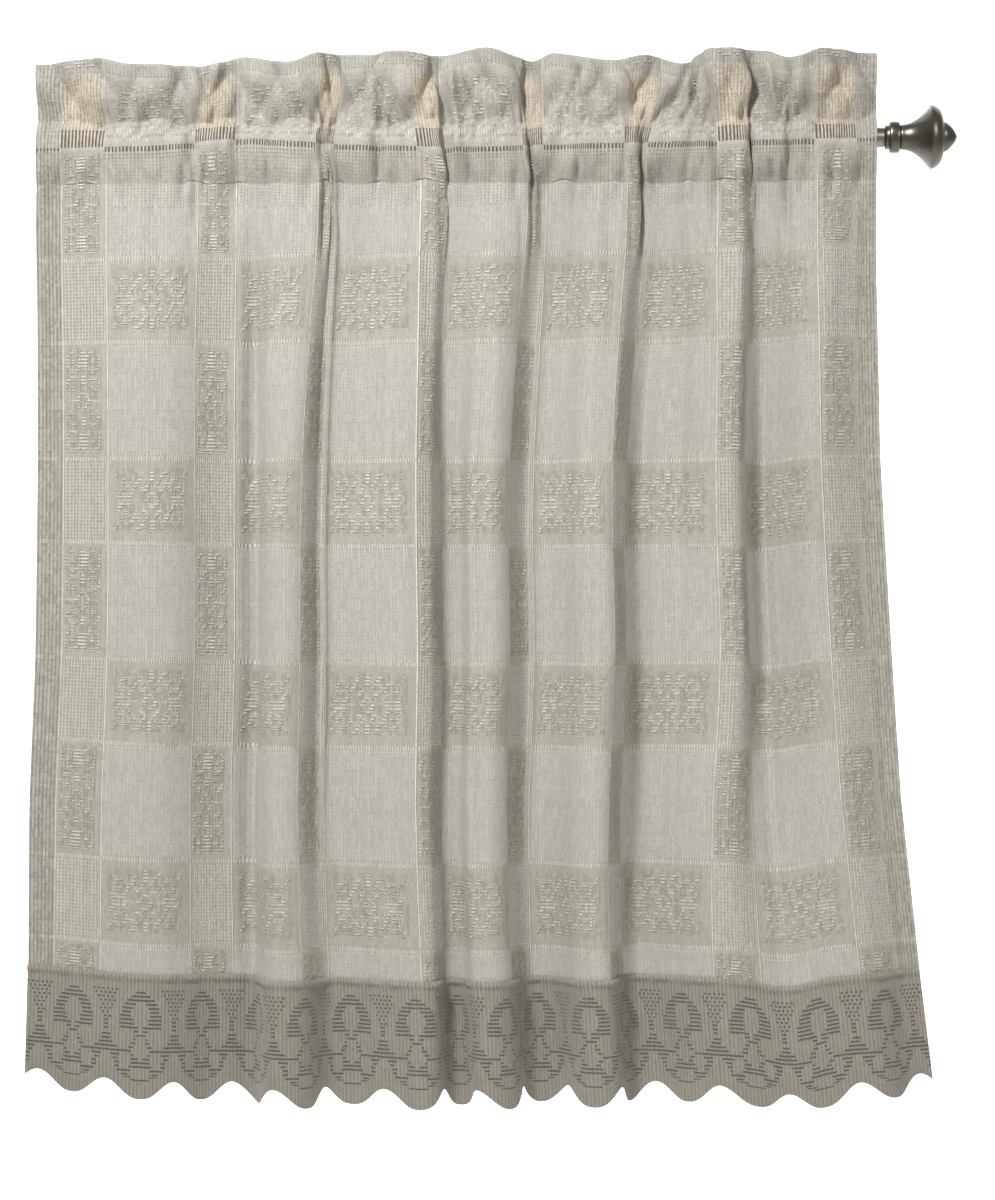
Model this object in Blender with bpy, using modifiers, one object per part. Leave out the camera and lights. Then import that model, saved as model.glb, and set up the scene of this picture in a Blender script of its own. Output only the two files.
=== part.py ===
"""Cafe curtain of check lace gathered on a slim rod with a turned finial.

Metres, +Z up, +X to the right as the curtain is seen, -Y towards the room.
The origin is on the rod's axis at the middle of the gathered heading.
"""
import math
from collections import namedtuple

import bmesh
import bpy
from mathutils import Vector

# Cloth
CLOTH_THICKNESS = 0.0012
HEM_THICKNESS = 0.0020
HEM_WIDTH = 0.014
HEM_STEP = 0.0004
COLUMN_PITCH = 0.0085
FEWEST_COLUMNS = 4
INTEGRATION_STEPS = 6
PLAN_DIGITS = 4
FOLD_DEPTH = 0.92

# Half folds from the left side to the right. Flat is the cloth's own width in each, and heading, rod, mid
# and hem are the steepest tilt in degrees at those heights. A positive tilt comes forward.
Fold = namedtuple("Fold", "flat heading rod mid hem")
FOLDS = (
    Fold(0.0636, 26, 22, 10, 8),
    Fold(0.0751, -42, -46, -51, -45),
    Fold(0.0347, 62, 57, 78, 75),
    Fold(0.0549, -68, -77, -73, -69),
    Fold(0.0457, 76, 40, 8, 22),
    Fold(0.0381, -67, -80, -81, -84),
    Fold(0.0260, 56, 52, 80, 76),
    Fold(0.0607, -71, -73, -72, -80),
    Fold(0.0376, 53, 59, 52, 59),
    Fold(0.0509, -52, -76, -88, -86),
    Fold(0.0532, 88, 61, 16, 32),
    Fold(0.0376, -73, -79, -82, -24),
    Fold(0.0405, 74, 70, 48, 14),
    Fold(0.0451, -45, -48, -43, -45),
)
FLAT_WIDTH = sum(fold.flat for fold in FOLDS)
TILT_HEADING_Z = 0.040
TILT_ROD_Z = -0.020
TILT_MID_Z = -0.267
TILT_HEM_Z = -0.530

# Heights where the outline and the depth of the folds are known. Left and right are the cloth's side edges,
# and depth is the share of the full fold depth.
Level = namedtuple("Level", "z left right depth")
LEVELS = (
    Level(0.0540, -0.2435, 0.2435, 0.55),
    Level(0.0240, -0.2425, 0.2430, 0.36),
    Level(0.0110, -0.2415, 0.2428, 0.10),
    Level(0.0015, -0.2412, 0.2427, 0.03),
    Level(-0.0120, -0.2412, 0.2427, 0.06),
    Level(-0.0260, -0.2412, 0.2427, 0.20),
    Level(-0.0800, -0.2412, 0.2430, 0.50),
    Level(-0.1830, -0.2412, 0.2455, 0.90),
    Level(-0.3000, -0.2430, 0.2525, 1.00),
    Level(-0.3800, -0.2460, 0.2575, 1.00),
    Level(-0.4800, -0.2470, 0.2680, 1.00),
    Level(-0.5700, -0.2505, 0.2790, 1.00),
)

# Upper edge of the heading along its gathered width.
HeadingPoint = namedtuple("HeadingPoint", "x z")
HEADING_EDGE = (
    HeadingPoint(-0.244, 0.0430),
    HeadingPoint(-0.207, 0.0460),
    HeadingPoint(-0.187, 0.0422),
    HeadingPoint(-0.150, 0.0416),
    HeadingPoint(-0.121, 0.0480),
    HeadingPoint(-0.095, 0.0440),
    HeadingPoint(-0.077, 0.0500),
    HeadingPoint(-0.034, 0.0505),
    HeadingPoint(-0.013, 0.0485),
    HeadingPoint(0.018, 0.0525),
    HeadingPoint(0.044, 0.0470),
    HeadingPoint(0.057, 0.0525),
    HeadingPoint(0.091, 0.0465),
    HeadingPoint(0.113, 0.0510),
    HeadingPoint(0.131, 0.0465),
    HeadingPoint(0.149, 0.0525),
    HeadingPoint(0.180, 0.0525),
    HeadingPoint(0.195, 0.0475),
    HeadingPoint(0.213, 0.0520),
    HeadingPoint(0.244, 0.0500),
)

# Rows of the sheet that close round the rod. Half gap is half the distance between its front and back layers.
PocketRow = namedtuple("PocketRow", "z half_gap")
POCKET_ROWS = (
    PocketRow(-0.0260, 0.0015),
    PocketRow(-0.0190, 0.0050),
    PocketRow(-0.0115, 0.0094),
    PocketRow(-0.0040, 0.0112),
    PocketRow(0.0020, 0.0108),
    PocketRow(0.0078, 0.0066),
    PocketRow(0.0105, 0.0015),
)
POCKET_SLACK = 0.0112
BODY_HALF_GAP = POCKET_ROWS[0].half_gap
HEADING_HALF_GAP = 0.0018
HEADING_SHARES = (0.42, 1.0)
TOP_FOLD_RADIUS = 0.0018

# Furrows where the pocket is drawn together along the rod. Pull is the share of the full furrow.
Pucker = namedtuple("Pucker", "flat width pull")
PUCKERS = (
    Pucker(0.0300, 0.0060, 0.4),
    Pucker(0.0985, 0.0070, 0.9),
    Pucker(0.1320, 0.0060, 0.8),
    Pucker(0.1650, 0.0060, 0.4),
    Pucker(0.1945, 0.0070, 1.0),
    Pucker(0.2200, 0.0060, 0.7),
    Pucker(0.2470, 0.0070, 0.8),
    Pucker(0.2765, 0.0060, 0.9),
    Pucker(0.3030, 0.0060, 0.8),
    Pucker(0.3400, 0.0080, 0.3),
    Pucker(0.3740, 0.0060, 0.9),
    Pucker(0.4020, 0.0080, 0.9),
    Pucker(0.4400, 0.0060, 0.4),
    Pucker(0.4705, 0.0070, 0.9),
    Pucker(0.5110, 0.0080, 0.7),
    Pucker(0.5370, 0.0060, 0.8),
    Pucker(0.5620, 0.0070, 1.0),
    Pucker(0.6010, 0.0070, 0.6),
)
PUCKER_DEPTH = 0.0026
PUCKER_LIFT = 0.0030

# Hanging length below the pocket
BODY_SHARES = (1.0, 0.86, 0.70, 0.53, 0.37, 0.22, 0.10)
SEAM_Z = -0.486
SEAM_RISE = 0.008
TIP_Z = -0.5585
TIP_RISE = 0.011
SAG_PLACE = 0.578
SAG_WIDTH = 0.022
SAG_DEPTH = 0.007

# Scalloped edging
SCALLOP_PITCH = 0.0405
SCALLOP_COLUMNS = 8
SCALLOP_DEPTH = 0.0105
SCALLOP_POWER = 1.3
SEAM_GAP = 0.0008
EDGING_SHARES = (0.0, 0.28, 0.54, 0.76, 0.90, 1.0)

# Rod and its end
ROD_RADIUS = 0.0058
ROD_LEFT = -0.2395
ROD_RIGHT = 0.2475
ROD_SIDES = 32
TURNED_STEPS = 32
FIT_GAP = 0.0003
COLLAR_STEP_RADIUS = 0.0069
COLLAR_STEP_LENGTH = 0.0023
COLLAR_RADIUS = 0.0091
COLLAR_LENGTH = 0.0086
COLLAR_CHAMFER = 0.0012
NECK_RADIUS = 0.0072
RIM_RADIUS = 0.0184
RIM_PLACE = 0.0170
FLARE_POWER = 2.1
KNOB_RADIUS = 0.0089
KNOB_PLACE = 0.0245
FINIAL_LENGTH = 0.0325
CURVE_STEPS = 6
KNOB_END_POWER = 1.6
KNOB_ROUND_POWER = 0.75

MERGE = 0.00001

# Colours are linear.
Finish = namedtuple("Finish", "name colour roughness metallic")
LACE = Finish("ecru_lace", (0.52, 0.50, 0.43, 1.0), 0.9, 0.0)
EDGING_LACE = Finish("taupe_lace", (0.34, 0.31, 0.27, 1.0), 0.9, 0.0)
METAL = Finish("satin_nickel", (0.20, 0.19, 0.17, 1.0), 0.35, 1.0)


def clear_scene():
    for thing in list(bpy.data.objects):
        bpy.data.objects.remove(thing, do_unlink=True)


def make_collection(name):
    group = bpy.data.collections.new(name)
    bpy.context.scene.collection.children.link(group)
    return group


def make_material(finish):
    material = bpy.data.materials.new(finish.name)
    material.use_nodes = True
    shader = material.node_tree.nodes["Principled BSDF"]
    shader.inputs["Base Color"].default_value = finish.colour
    shader.inputs["Roughness"].default_value = finish.roughness
    shader.inputs["Metallic"].default_value = finish.metallic
    return material


def ease(share):
    share = min(1.0, max(0.0, share))
    return share * share * (3.0 - 2.0 * share)


def mix(first, second, share):
    return first + (second - first) * share


def level_at(z):
    """Side edges and fold depth at one height."""
    if z >= LEVELS[0].z:
        return LEVELS[0]
    for upper, lower in zip(LEVELS, LEVELS[1:]):
        if z >= lower.z:
            share = (upper.z - z) / (upper.z - lower.z)
            return Level(*(mix(a, b, share) for a, b in zip(upper, lower)))
    return LEVELS[-1]


def tilt_at(fold, z):
    """Steepest tilt of one half fold at one height, in radians."""
    if z > TILT_ROD_Z:
        upper, lower = fold.heading, fold.rod
        share = (TILT_HEADING_Z - z) / (TILT_HEADING_Z - TILT_ROD_Z)
    elif z > TILT_MID_Z:
        upper, lower = fold.rod, fold.mid
        share = (TILT_ROD_Z - z) / (TILT_ROD_Z - TILT_MID_Z)
    else:
        upper, lower = fold.mid, fold.hem
        share = (TILT_MID_Z - z) / (TILT_MID_Z - TILT_HEM_Z)
    return math.radians(mix(upper, lower, ease(share)))


def fold_marks():
    """Flat distance of each fold line from the left side, with both sides."""
    marks = [0.0]
    for fold in FOLDS:
        marks.append(marks[-1] + fold.flat)
    return marks


def cloth_angle(flat, z, marks):
    """Tilt of the cloth at one flat distance and height, easing to nothing at each fold line."""
    index = max(i for i in range(len(FOLDS)) if marks[i] <= flat)
    fold = FOLDS[index]
    return tilt_at(fold, z) * math.sin(math.pi * (flat - marks[index]) / fold.flat)


class Hang:
    """The gathered cloth over its own flat distances, with its plan worked out once for each height."""

    def __init__(self, flats):
        self.flats = flats
        self.plans = {}

    def walk(self, z):
        """Path of the cloth in plan, before it is fitted between its side edges."""
        marks = fold_marks()
        x = 0.0
        y = 0.0
        path = [(x, y)]
        for start, end in zip(self.flats, self.flats[1:]):
            step = (end - start) / INTEGRATION_STEPS
            for part in range(INTEGRATION_STEPS):
                angle = cloth_angle(start + (part + 0.5) * step, z, marks)
                x += math.cos(angle) * step
                y -= math.sin(angle) * step
            path.append((x, y))
        return path

    def plan(self, z):
        """Points of the cloth at height z, and the way it faces at each."""
        z = round(z, PLAN_DIGITS)
        if z not in self.plans:
            path = self.walk(z)
            level = level_at(z)
            lean = path[-1][1] / path[-1][0]
            stretch = (level.right - level.left) / path[-1][0]
            across = [y - lean * x for x, y in path]
            middle = 0.5 * (min(across) + max(across))
            depth = level.depth * FOLD_DEPTH
            points = [
                Vector((level.left + x * stretch, (y - middle) * depth, 0.0))
                for (x, _), y in zip(path, across)
            ]
            facing = []
            for i in range(len(points)):
                along = points[min(i + 1, len(points) - 1)] - points[max(i - 1, 0)]
                facing.append(Vector((along.y, -along.x, 0.0)).normalized())
            self.plans[z] = (points, facing)
        return self.plans[z]

    def row(self, heights, side, half_gaps):
        """One row of points, each at its own height, on the front (1) or back (-1) layer."""
        row = []
        for i, (height, half_gap) in enumerate(zip(heights, half_gaps)):
            points, facing = self.plan(height)
            place = points[i] + facing[i] * (side * half_gap)
            row.append(Vector((place.x, place.y, height)))
        return row


def heading_top(x):
    """Height of the heading's upper edge at one place along the gathered width."""
    if x <= HEADING_EDGE[0].x:
        return HEADING_EDGE[0].z
    for left, right in zip(HEADING_EDGE, HEADING_EDGE[1:]):
        if x <= right.x:
            return mix(left.z, right.z, ease((x - left.x) / (right.x - left.x)))
    return HEADING_EDGE[-1].z


def droop(flat, middle_z, rise):
    """Height of a lengthwise line of the cloth, lowest in the middle and where the deep fold hangs."""
    from_middle = abs(2.0 * flat / FLAT_WIDTH - 1.0)
    sag = SAG_DEPTH * math.exp(-(((flat - SAG_PLACE) / SAG_WIDTH) ** 2))
    return middle_z + rise * from_middle**3 - sag


def panel_columns():
    """Flat distances of the panel's columns, closer together at the side hems' edges."""
    marks = fold_marks()
    flats = [HEM_WIDTH, HEM_WIDTH + HEM_STEP, FLAT_WIDTH - HEM_WIDTH - HEM_STEP, FLAT_WIDTH - HEM_WIDTH]
    for start, fold in zip(marks, FOLDS):
        count = max(FEWEST_COLUMNS, round(fold.flat / COLUMN_PITCH))
        flats += [start + fold.flat * i / count for i in range(count)]
    flats.append(FLAT_WIDTH)
    return sorted(flats)


def edging_columns():
    """Flat distances of the edging's columns, the same number to each scallop."""
    step = SCALLOP_PITCH / SCALLOP_COLUMNS
    count = int(FLAT_WIDTH / step)
    flats = [i * step for i in range(count + 1)]
    flats[-1] = FLAT_WIDTH
    return flats


def pucker(flat):
    """How far the cloth is drawn into a furrow at one flat distance, from 0 to 1."""
    pull = sum(p.pull * math.exp(-(((flat - p.flat) / p.width) ** 2)) for p in PUCKERS)
    return min(1.0, pull)


def sheet_mesh(name, rows):
    """Open sheet of quads through rows of points."""
    mesh = bmesh.new()
    grid = [[mesh.verts.new(point) for point in row] for row in rows]
    for low, high in zip(grid, grid[1:]):
        for i in range(len(low) - 1):
            mesh.faces.new((low[i], low[i + 1], high[i + 1], high[i]))
    data = bpy.data.meshes.new(name)
    mesh.to_mesh(data)
    mesh.free()
    return data


def make_cloth(name, hang, rows, material, group):
    """Sheet with its thickness, thicker along both side hems."""
    cloth = bpy.data.objects.new(name, sheet_mesh(name, rows))
    group.objects.link(cloth)
    cloth.data.materials.append(material)
    hem = cloth.vertex_groups.new(name="side_hems")
    for index in range(len(cloth.data.vertices)):
        flat = hang.flats[index % len(hang.flats)]
        if min(flat, FLAT_WIDTH - flat) < HEM_WIDTH + 0.5 * HEM_STEP:
            hem.add([index], 1.0, "REPLACE")
    thickness = cloth.modifiers.new("cloth_thickness", "SOLIDIFY")
    thickness.thickness = HEM_THICKNESS
    thickness.offset = 0.0
    thickness.vertex_group = hem.name
    thickness.thickness_vertex_group = CLOTH_THICKNESS / HEM_THICKNESS
    cloth.data.shade_smooth()
    return cloth


def panel_rows(hang):
    """Rows of the panel from its lower edge up the front, over the heading and down the pocket's back."""
    pulls = [pucker(flat) for flat in hang.flats]
    pocket_foot = [POCKET_ROWS[0].z + PUCKER_LIFT * pull for pull in pulls]
    pocket_head = POCKET_ROWS[-1].z
    seam = [droop(flat, SEAM_Z, SEAM_RISE) for flat in hang.flats]
    body_gap = [BODY_HALF_GAP] * len(hang.flats)
    body = []
    for share in BODY_SHARES:
        heights = [mix(foot, z, share) for foot, z in zip(pocket_foot, seam)]
        body.append(hang.row(heights, 1, body_gap))
    front = []
    back = []
    for pocket in POCKET_ROWS:
        lift = (pocket_head - pocket.z) / (pocket_head - POCKET_ROWS[0].z)
        heights = [pocket.z + PUCKER_LIFT * pull * lift for pull in pulls]
        slack = pocket.half_gap / POCKET_SLACK
        gaps = [pocket.half_gap - PUCKER_DEPTH * pull * slack**2 for pull in pulls]
        front.append(hang.row(heights, 1, gaps))
        back.append(hang.row(heights, -1, gaps))
    heading_gap = [HEADING_HALF_GAP] * len(hang.flats)
    top = [heading_top(point.x) for point in hang.plan(LEVELS[0].z)[0]]
    shoulder = [z - TOP_FOLD_RADIUS for z in top]
    for share in HEADING_SHARES:
        heights = [mix(pocket_head, z, share) for z in shoulder]
        front.append(hang.row(heights, 1, heading_gap))
        back.append(hang.row(heights, -1, heading_gap))
    crown = hang.row(top, 1, [0.0] * len(hang.flats))
    return body + front + [crown] + back[::-1]


def edging_rows(hang):
    """Rows of the edging from its scalloped lower edge up to the seam."""
    seam = [droop(flat, SEAM_Z, SEAM_RISE) - SEAM_GAP for flat in hang.flats]
    lower = []
    for flat in hang.flats:
        wave = 0.5 + 0.5 * math.cos(2.0 * math.pi * flat / SCALLOP_PITCH)
        notch = SCALLOP_DEPTH * wave**SCALLOP_POWER
        lower.append(droop(flat, TIP_Z, TIP_RISE) + notch)
    gaps = [BODY_HALF_GAP] * len(hang.flats)
    rows = []
    for share in EDGING_SHARES:
        heights = [mix(a, b, share) for a, b in zip(seam, lower)]
        rows.append(hang.row(heights, 1, gaps))
    return rows[::-1]


def make_rod(material, group):
    bpy.ops.mesh.primitive_cylinder_add(
        vertices=ROD_SIDES,
        radius=ROD_RADIUS,
        depth=ROD_RIGHT - ROD_LEFT,
        location=(0.5 * (ROD_LEFT + ROD_RIGHT), 0.0, 0.0),
        rotation=(0.0, math.radians(90), 0.0),
    )
    rod = bpy.context.active_object
    rod.name = "rod"
    rod.data.materials.append(material)
    rod.data.shade_smooth()
    rod.data.set_sharp_from_angle(angle=math.radians(40))
    move_to(rod, group)
    return rod


def move_to(thing, group):
    for owner in list(thing.users_collection):
        owner.objects.unlink(thing)
    group.objects.link(thing)


def turned_piece(name, profile, start, material, group):
    """Solid turned about the rod's axis, from a profile of (radius, distance along the axis)."""
    data = bpy.data.meshes.new(name)
    points = [(radius, 0.0, along) for radius, along in profile]
    data.from_pydata(points, [(i, i + 1) for i in range(len(points) - 1)], [])
    piece = bpy.data.objects.new(name, data)
    piece.location = (start, 0.0, 0.0)
    piece.rotation_euler = (0.0, math.radians(90), 0.0)
    piece.data.materials.append(material)
    group.objects.link(piece)
    turn = piece.modifiers.new("turned", "SCREW")
    turn.axis = "Z"
    turn.angle = math.radians(360)
    turn.steps = TURNED_STEPS
    turn.render_steps = TURNED_STEPS
    turn.use_merge_vertices = True
    turn.merge_threshold = MERGE
    turn.use_smooth_shade = True
    return piece


def collar_profile():
    """Chamfered collar with a thin step towards the cloth."""
    return (
        (0.0, COLLAR_LENGTH),
        (COLLAR_RADIUS - COLLAR_CHAMFER, COLLAR_LENGTH),
        (COLLAR_RADIUS, COLLAR_LENGTH - COLLAR_CHAMFER),
        (COLLAR_RADIUS, COLLAR_STEP_LENGTH + COLLAR_CHAMFER),
        (COLLAR_RADIUS - COLLAR_CHAMFER, COLLAR_STEP_LENGTH),
        (COLLAR_STEP_RADIUS, COLLAR_STEP_LENGTH),
        (COLLAR_STEP_RADIUS, 0.0),
        (0.0, 0.0),
    )


def finial_profile():
    """Pointed knob, rounded back and hollow flare of the finial, from its point to its neck."""
    knob = FINIAL_LENGTH - KNOB_PLACE
    profile = [(0.0, FINIAL_LENGTH)]
    for i in range(1, CURVE_STEPS + 1):
        share = 1.0 - math.sin(0.5 * math.pi * i / CURVE_STEPS)
        radius = KNOB_RADIUS * (1.0 - share**KNOB_END_POWER) ** KNOB_ROUND_POWER
        profile.append((radius, KNOB_PLACE + knob * share))
    for i in range(1, CURVE_STEPS + 1):
        angle = 0.5 * math.pi * i / CURVE_STEPS
        radius = KNOB_RADIUS + (RIM_RADIUS - KNOB_RADIUS) * math.sin(angle)
        profile.append((radius, RIM_PLACE + (KNOB_PLACE - RIM_PLACE) * math.cos(angle)))
    for i in range(1, CURVE_STEPS + 1):
        share = 1.0 - i / CURVE_STEPS
        radius = NECK_RADIUS + (RIM_RADIUS - NECK_RADIUS) * share**FLARE_POWER
        profile.append((radius, RIM_PLACE * share))
    profile.append((0.0, 0.0))
    return profile


def main():
    clear_scene()
    group = make_collection("cafe_curtain")
    lace = make_material(LACE)
    edging_lace = make_material(EDGING_LACE)
    metal = make_material(METAL)
    hang = Hang(panel_columns())
    make_cloth("panel", hang, panel_rows(hang), lace, group)
    hang = Hang(edging_columns())
    make_cloth("edging", hang, edging_rows(hang), edging_lace, group)
    make_rod(metal, group)
    collar_start = ROD_RIGHT + FIT_GAP
    turned_piece("finial_collar", collar_profile(), collar_start, metal, group)
    finial_start = collar_start + COLLAR_LENGTH + FIT_GAP
    turned_piece("finial", finial_profile(), finial_start, metal, group)


main()
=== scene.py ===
"""Dresses the cafe curtain: check lace gathered on a slim rod, with its scalloped edging and turned finial.

Metres, +Z up, +X to the right as the curtain is seen, -Y towards the room.
"""
import logging
import math
from dataclasses import dataclass, field
from enum import Enum

import bpy
import numpy as np
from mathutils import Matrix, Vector


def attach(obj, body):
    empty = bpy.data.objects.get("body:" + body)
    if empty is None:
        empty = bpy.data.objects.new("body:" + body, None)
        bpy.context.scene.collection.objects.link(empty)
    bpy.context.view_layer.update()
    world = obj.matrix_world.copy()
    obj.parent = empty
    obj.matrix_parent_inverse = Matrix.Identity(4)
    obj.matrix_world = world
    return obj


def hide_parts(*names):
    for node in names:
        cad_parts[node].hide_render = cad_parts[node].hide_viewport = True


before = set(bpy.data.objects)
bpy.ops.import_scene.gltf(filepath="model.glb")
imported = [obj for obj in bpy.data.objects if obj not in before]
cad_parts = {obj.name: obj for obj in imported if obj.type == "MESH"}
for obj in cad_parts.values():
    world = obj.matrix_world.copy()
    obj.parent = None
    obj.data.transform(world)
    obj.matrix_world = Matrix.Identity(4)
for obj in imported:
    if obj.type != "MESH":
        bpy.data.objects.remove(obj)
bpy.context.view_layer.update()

MM = 0.001
LOG = logging.getLogger("cafe_curtain")

# The cloth's map counts wales across and courses down from the heading's top. One unit of it is 600 cells,
# and it starts 60 courses higher, because the back of the heading counts below nought.
CELLS_TO_MAP = 600.0
BACK_COURSES = 60.0

# Places of a stitch's values: its hole, the slit beside it, sheerness, proud cord and proud figure
HOLE, SLIT, SHEER, CORD, FIGURE = range(5)


def linear(hex_colour: str) -> tuple[float, float, float, float]:
    """Turns an sRGB hex colour to a linear one.

    Args:
        hex_colour: Six hex digits after a hash.

    Returns:
        Linear red, green, blue and a full alpha.
    """
    parts = [int(hex_colour[i : i + 2], 16) / 255.0 for i in (1, 3, 5)]
    low = [c / 12.92 if c <= 0.04045 else ((c + 0.055) / 1.055) ** 2.4 for c in parts]
    return (low[0], low[1], low[2], 1.0)


def ease(share: np.ndarray) -> np.ndarray:
    """Eases a share from 0 to 1 with level ends."""
    share = np.clip(share, 0.0, 1.0)
    return share * share * (3.0 - 2.0 * share)


def hump(distance: np.ndarray, width: float) -> np.ndarray:
    """Bell curve that is 1 in its middle."""
    return np.exp(-((distance / width) ** 2))


def waver(flat: np.ndarray, length: float, sway: float, sway_length: float) -> np.ndarray:
    """Wave from -1 to 1 whose own pitch comes and goes."""
    return np.sin(flat / length + sway * np.sin(flat / sway_length))


def add_node(
    tree: bpy.types.NodeTree,
    kind: str,
    settings: dict[str, object] | None = None,
    inputs: dict[int | str, object] | None = None,
) -> bpy.types.Node:
    """Adds one node, with its settings, and its inputs linked or set.

    Args:
        tree: The material's nodes.
        kind: The node's type name after ShaderNode.
        settings: Properties of the node.
        inputs: Sockets to link from, or plain values, by input name or number.

    Returns:
        The new node.
    """
    node = tree.nodes.new("ShaderNode" + kind)
    for name, value in (settings or {}).items():
        setattr(node, name, value)
    for name, value in (inputs or {}).items():
        if isinstance(value, Signal):
            value = value.socket
        if isinstance(value, bpy.types.NodeSocket):
            tree.links.new(value, node.inputs[name])
        else:
            node.inputs[name].default_value = value
    return node


@dataclass
class Signal:
    """A number that flows through a material's nodes, with the arithmetic that patterns are written in."""

    tree: bpy.types.NodeTree
    socket: bpy.types.NodeSocket

    def then(self, operation: str, *others: "Signal | float", clamp: bool = False) -> "Signal":
        """Feeds this number and others through one Math node.

        Args:
            operation: The Math node's operation.
            others: Its second and third inputs.
            clamp: Keeps the result between 0 and 1.

        Returns:
            The node's result.
        """
        inputs = dict(enumerate((self, *others)))
        node = add_node(self.tree, "Math", {"operation": operation, "use_clamp": clamp}, inputs)
        return Signal(self.tree, node.outputs[0])

    def __add__(self, other: "Signal | float") -> "Signal":
        """Sum."""
        return self.then("ADD", other)

    def __sub__(self, other: "Signal | float") -> "Signal":
        """Difference."""
        return self.then("SUBTRACT", other)

    def __mul__(self, other: "Signal | float") -> "Signal":
        """Product."""
        return self.then("MULTIPLY", other)

    def unit(self) -> "Signal":
        """This number kept between 0 and 1."""
        return self.then("ADD", 0.0, clamp=True)

    def without(self) -> "Signal":
        """One less this number."""
        node = add_node(self.tree, "Math", {"operation": "SUBTRACT"}, {0: 1.0, 1: self})
        return Signal(self.tree, node.outputs[0])

    def past(self, start: float, sharpness: float) -> "Signal":
        """Rise from 0 at a start up to 1."""
        return ((self - start) * sharpness).unit()

    def ramp(self, slope: float, start: float) -> "Signal":
        """Straight line kept between 0 and 1."""
        return (self * slope + start).unit()

    def off_middle(self) -> "Signal":
        """Distance from the middle of each whole step, 0 there and 1 at its ends."""
        return (self.then("FRACT") - 0.5).then("ABSOLUTE") * 2.0


class SlitRun(Enum):
    """Way the slits in the knit run."""

    UPRIGHT = "between wales"
    ALONG = "between courses"


@dataclass(frozen=True)
class LaceFinish:
    """Warp-knitted polyester lace: soft and matt, whitest where threads stand proud, see-through in its net."""

    name: str
    thread: str
    shadow: str
    cord: str
    net: str
    cream: str
    slits: SlitRun
    hole_show: float
    slit_show: float
    sheer_show: float
    hole_shade: float
    slit_shade: float
    rib_shade: float
    figure_light: float
    figure_shade: float
    gaps_each: float
    post_light: float
    relief_mm: float


@dataclass(frozen=True)
class MetalFinish:
    """Nickel-plated steel, brushed round and lacquered: a dark satin with a stretched highlight."""

    name: str
    light: str
    dark: str
    roughness: float
    brush_mm: float


# Ecru polyester, warp-knitted and heat-set: matt and chalky, its proud loops pale, its small holes painted grey
# as the shade seen through them
PANEL_LACE = LaceFinish(
    name="check_lace_knit",
    thread="#a3a097",
    shadow="#5b5851",
    cord="#dad7cf",
    net="#9f9e98",
    cream="#bdb19b",
    slits=SlitRun.UPRIGHT,
    hole_show=0.12,
    slit_show=0.0,
    sheer_show=0.04,
    hole_shade=0.58,
    slit_shade=0.24,
    rib_shade=0.10,
    figure_light=0.68,
    figure_shade=0.13,
    gaps_each=0.75,
    post_light=0.32,
    relief_mm=0.75,
)
# Taupe polyester in a closer knit: darker and ribbed, with painted shade in the grooves between wales and slits
# painted nearly black as the shade seen through them
EDGING_LACE = LaceFinish(
    name="edging_lace_knit",
    thread="#928e86",
    shadow="#322f2a",
    cord="#aca89f",
    net="#928e86",
    cream="#8f8672",
    slits=SlitRun.ALONG,
    hole_show=0.10,
    slit_show=0.04,
    sheer_show=0.0,
    hole_shade=0.8,
    slit_shade=0.95,
    rib_shade=0.38,
    figure_light=0.0,
    figure_shade=0.0,
    gaps_each=0.6,
    post_light=0.0,
    relief_mm=0.60,
)
# Nickel-plated steel tube, drawn and brushed: a pale satin line along its top
ROD_METAL = MetalFinish("brushed_nickel_tube", "#a9a8a4", "#77756f", 0.34, 0.25)
# Nickel-plated casting, turned: its colour is darkened as a painted dark reflection of dim surroundings, so it
# brightens only on its rims
FINIAL_METAL = MetalFinish("satin_nickel_painted_dark", "#7c7a75", "#5a5853", 0.34, 0.35)


@dataclass(frozen=True)
class HalfFold:
    """Cloth between two fold lines: its flat width, and its steepest tilt in degrees at four heights."""

    flat: float
    heading: float
    rod: float
    mid: float
    hem: float


@dataclass(frozen=True)
class Level:
    """Side edges of the cloth and share of the full fold depth at one height."""

    z: float
    left: float
    right: float
    depth: float


@dataclass(frozen=True)
class Crease:
    """A soft ridge, or a trough where its height is negative, from one place on the cloth to another."""

    flat_top: float
    z_top: float
    flat_foot: float
    z_foot: float
    width: float
    height: float


@dataclass(frozen=True)
class Gather:
    """A run of small upright wrinkles round one height: their pitch, reach up and down, lean and height."""

    z: float
    reach: float
    pitch: float
    height: float
    lean: float
    phase: float


@dataclass(frozen=True)
class Pucker:
    """A furrow where the pocket is drawn together along the rod."""

    flat: float
    width: float
    pull: float


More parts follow.
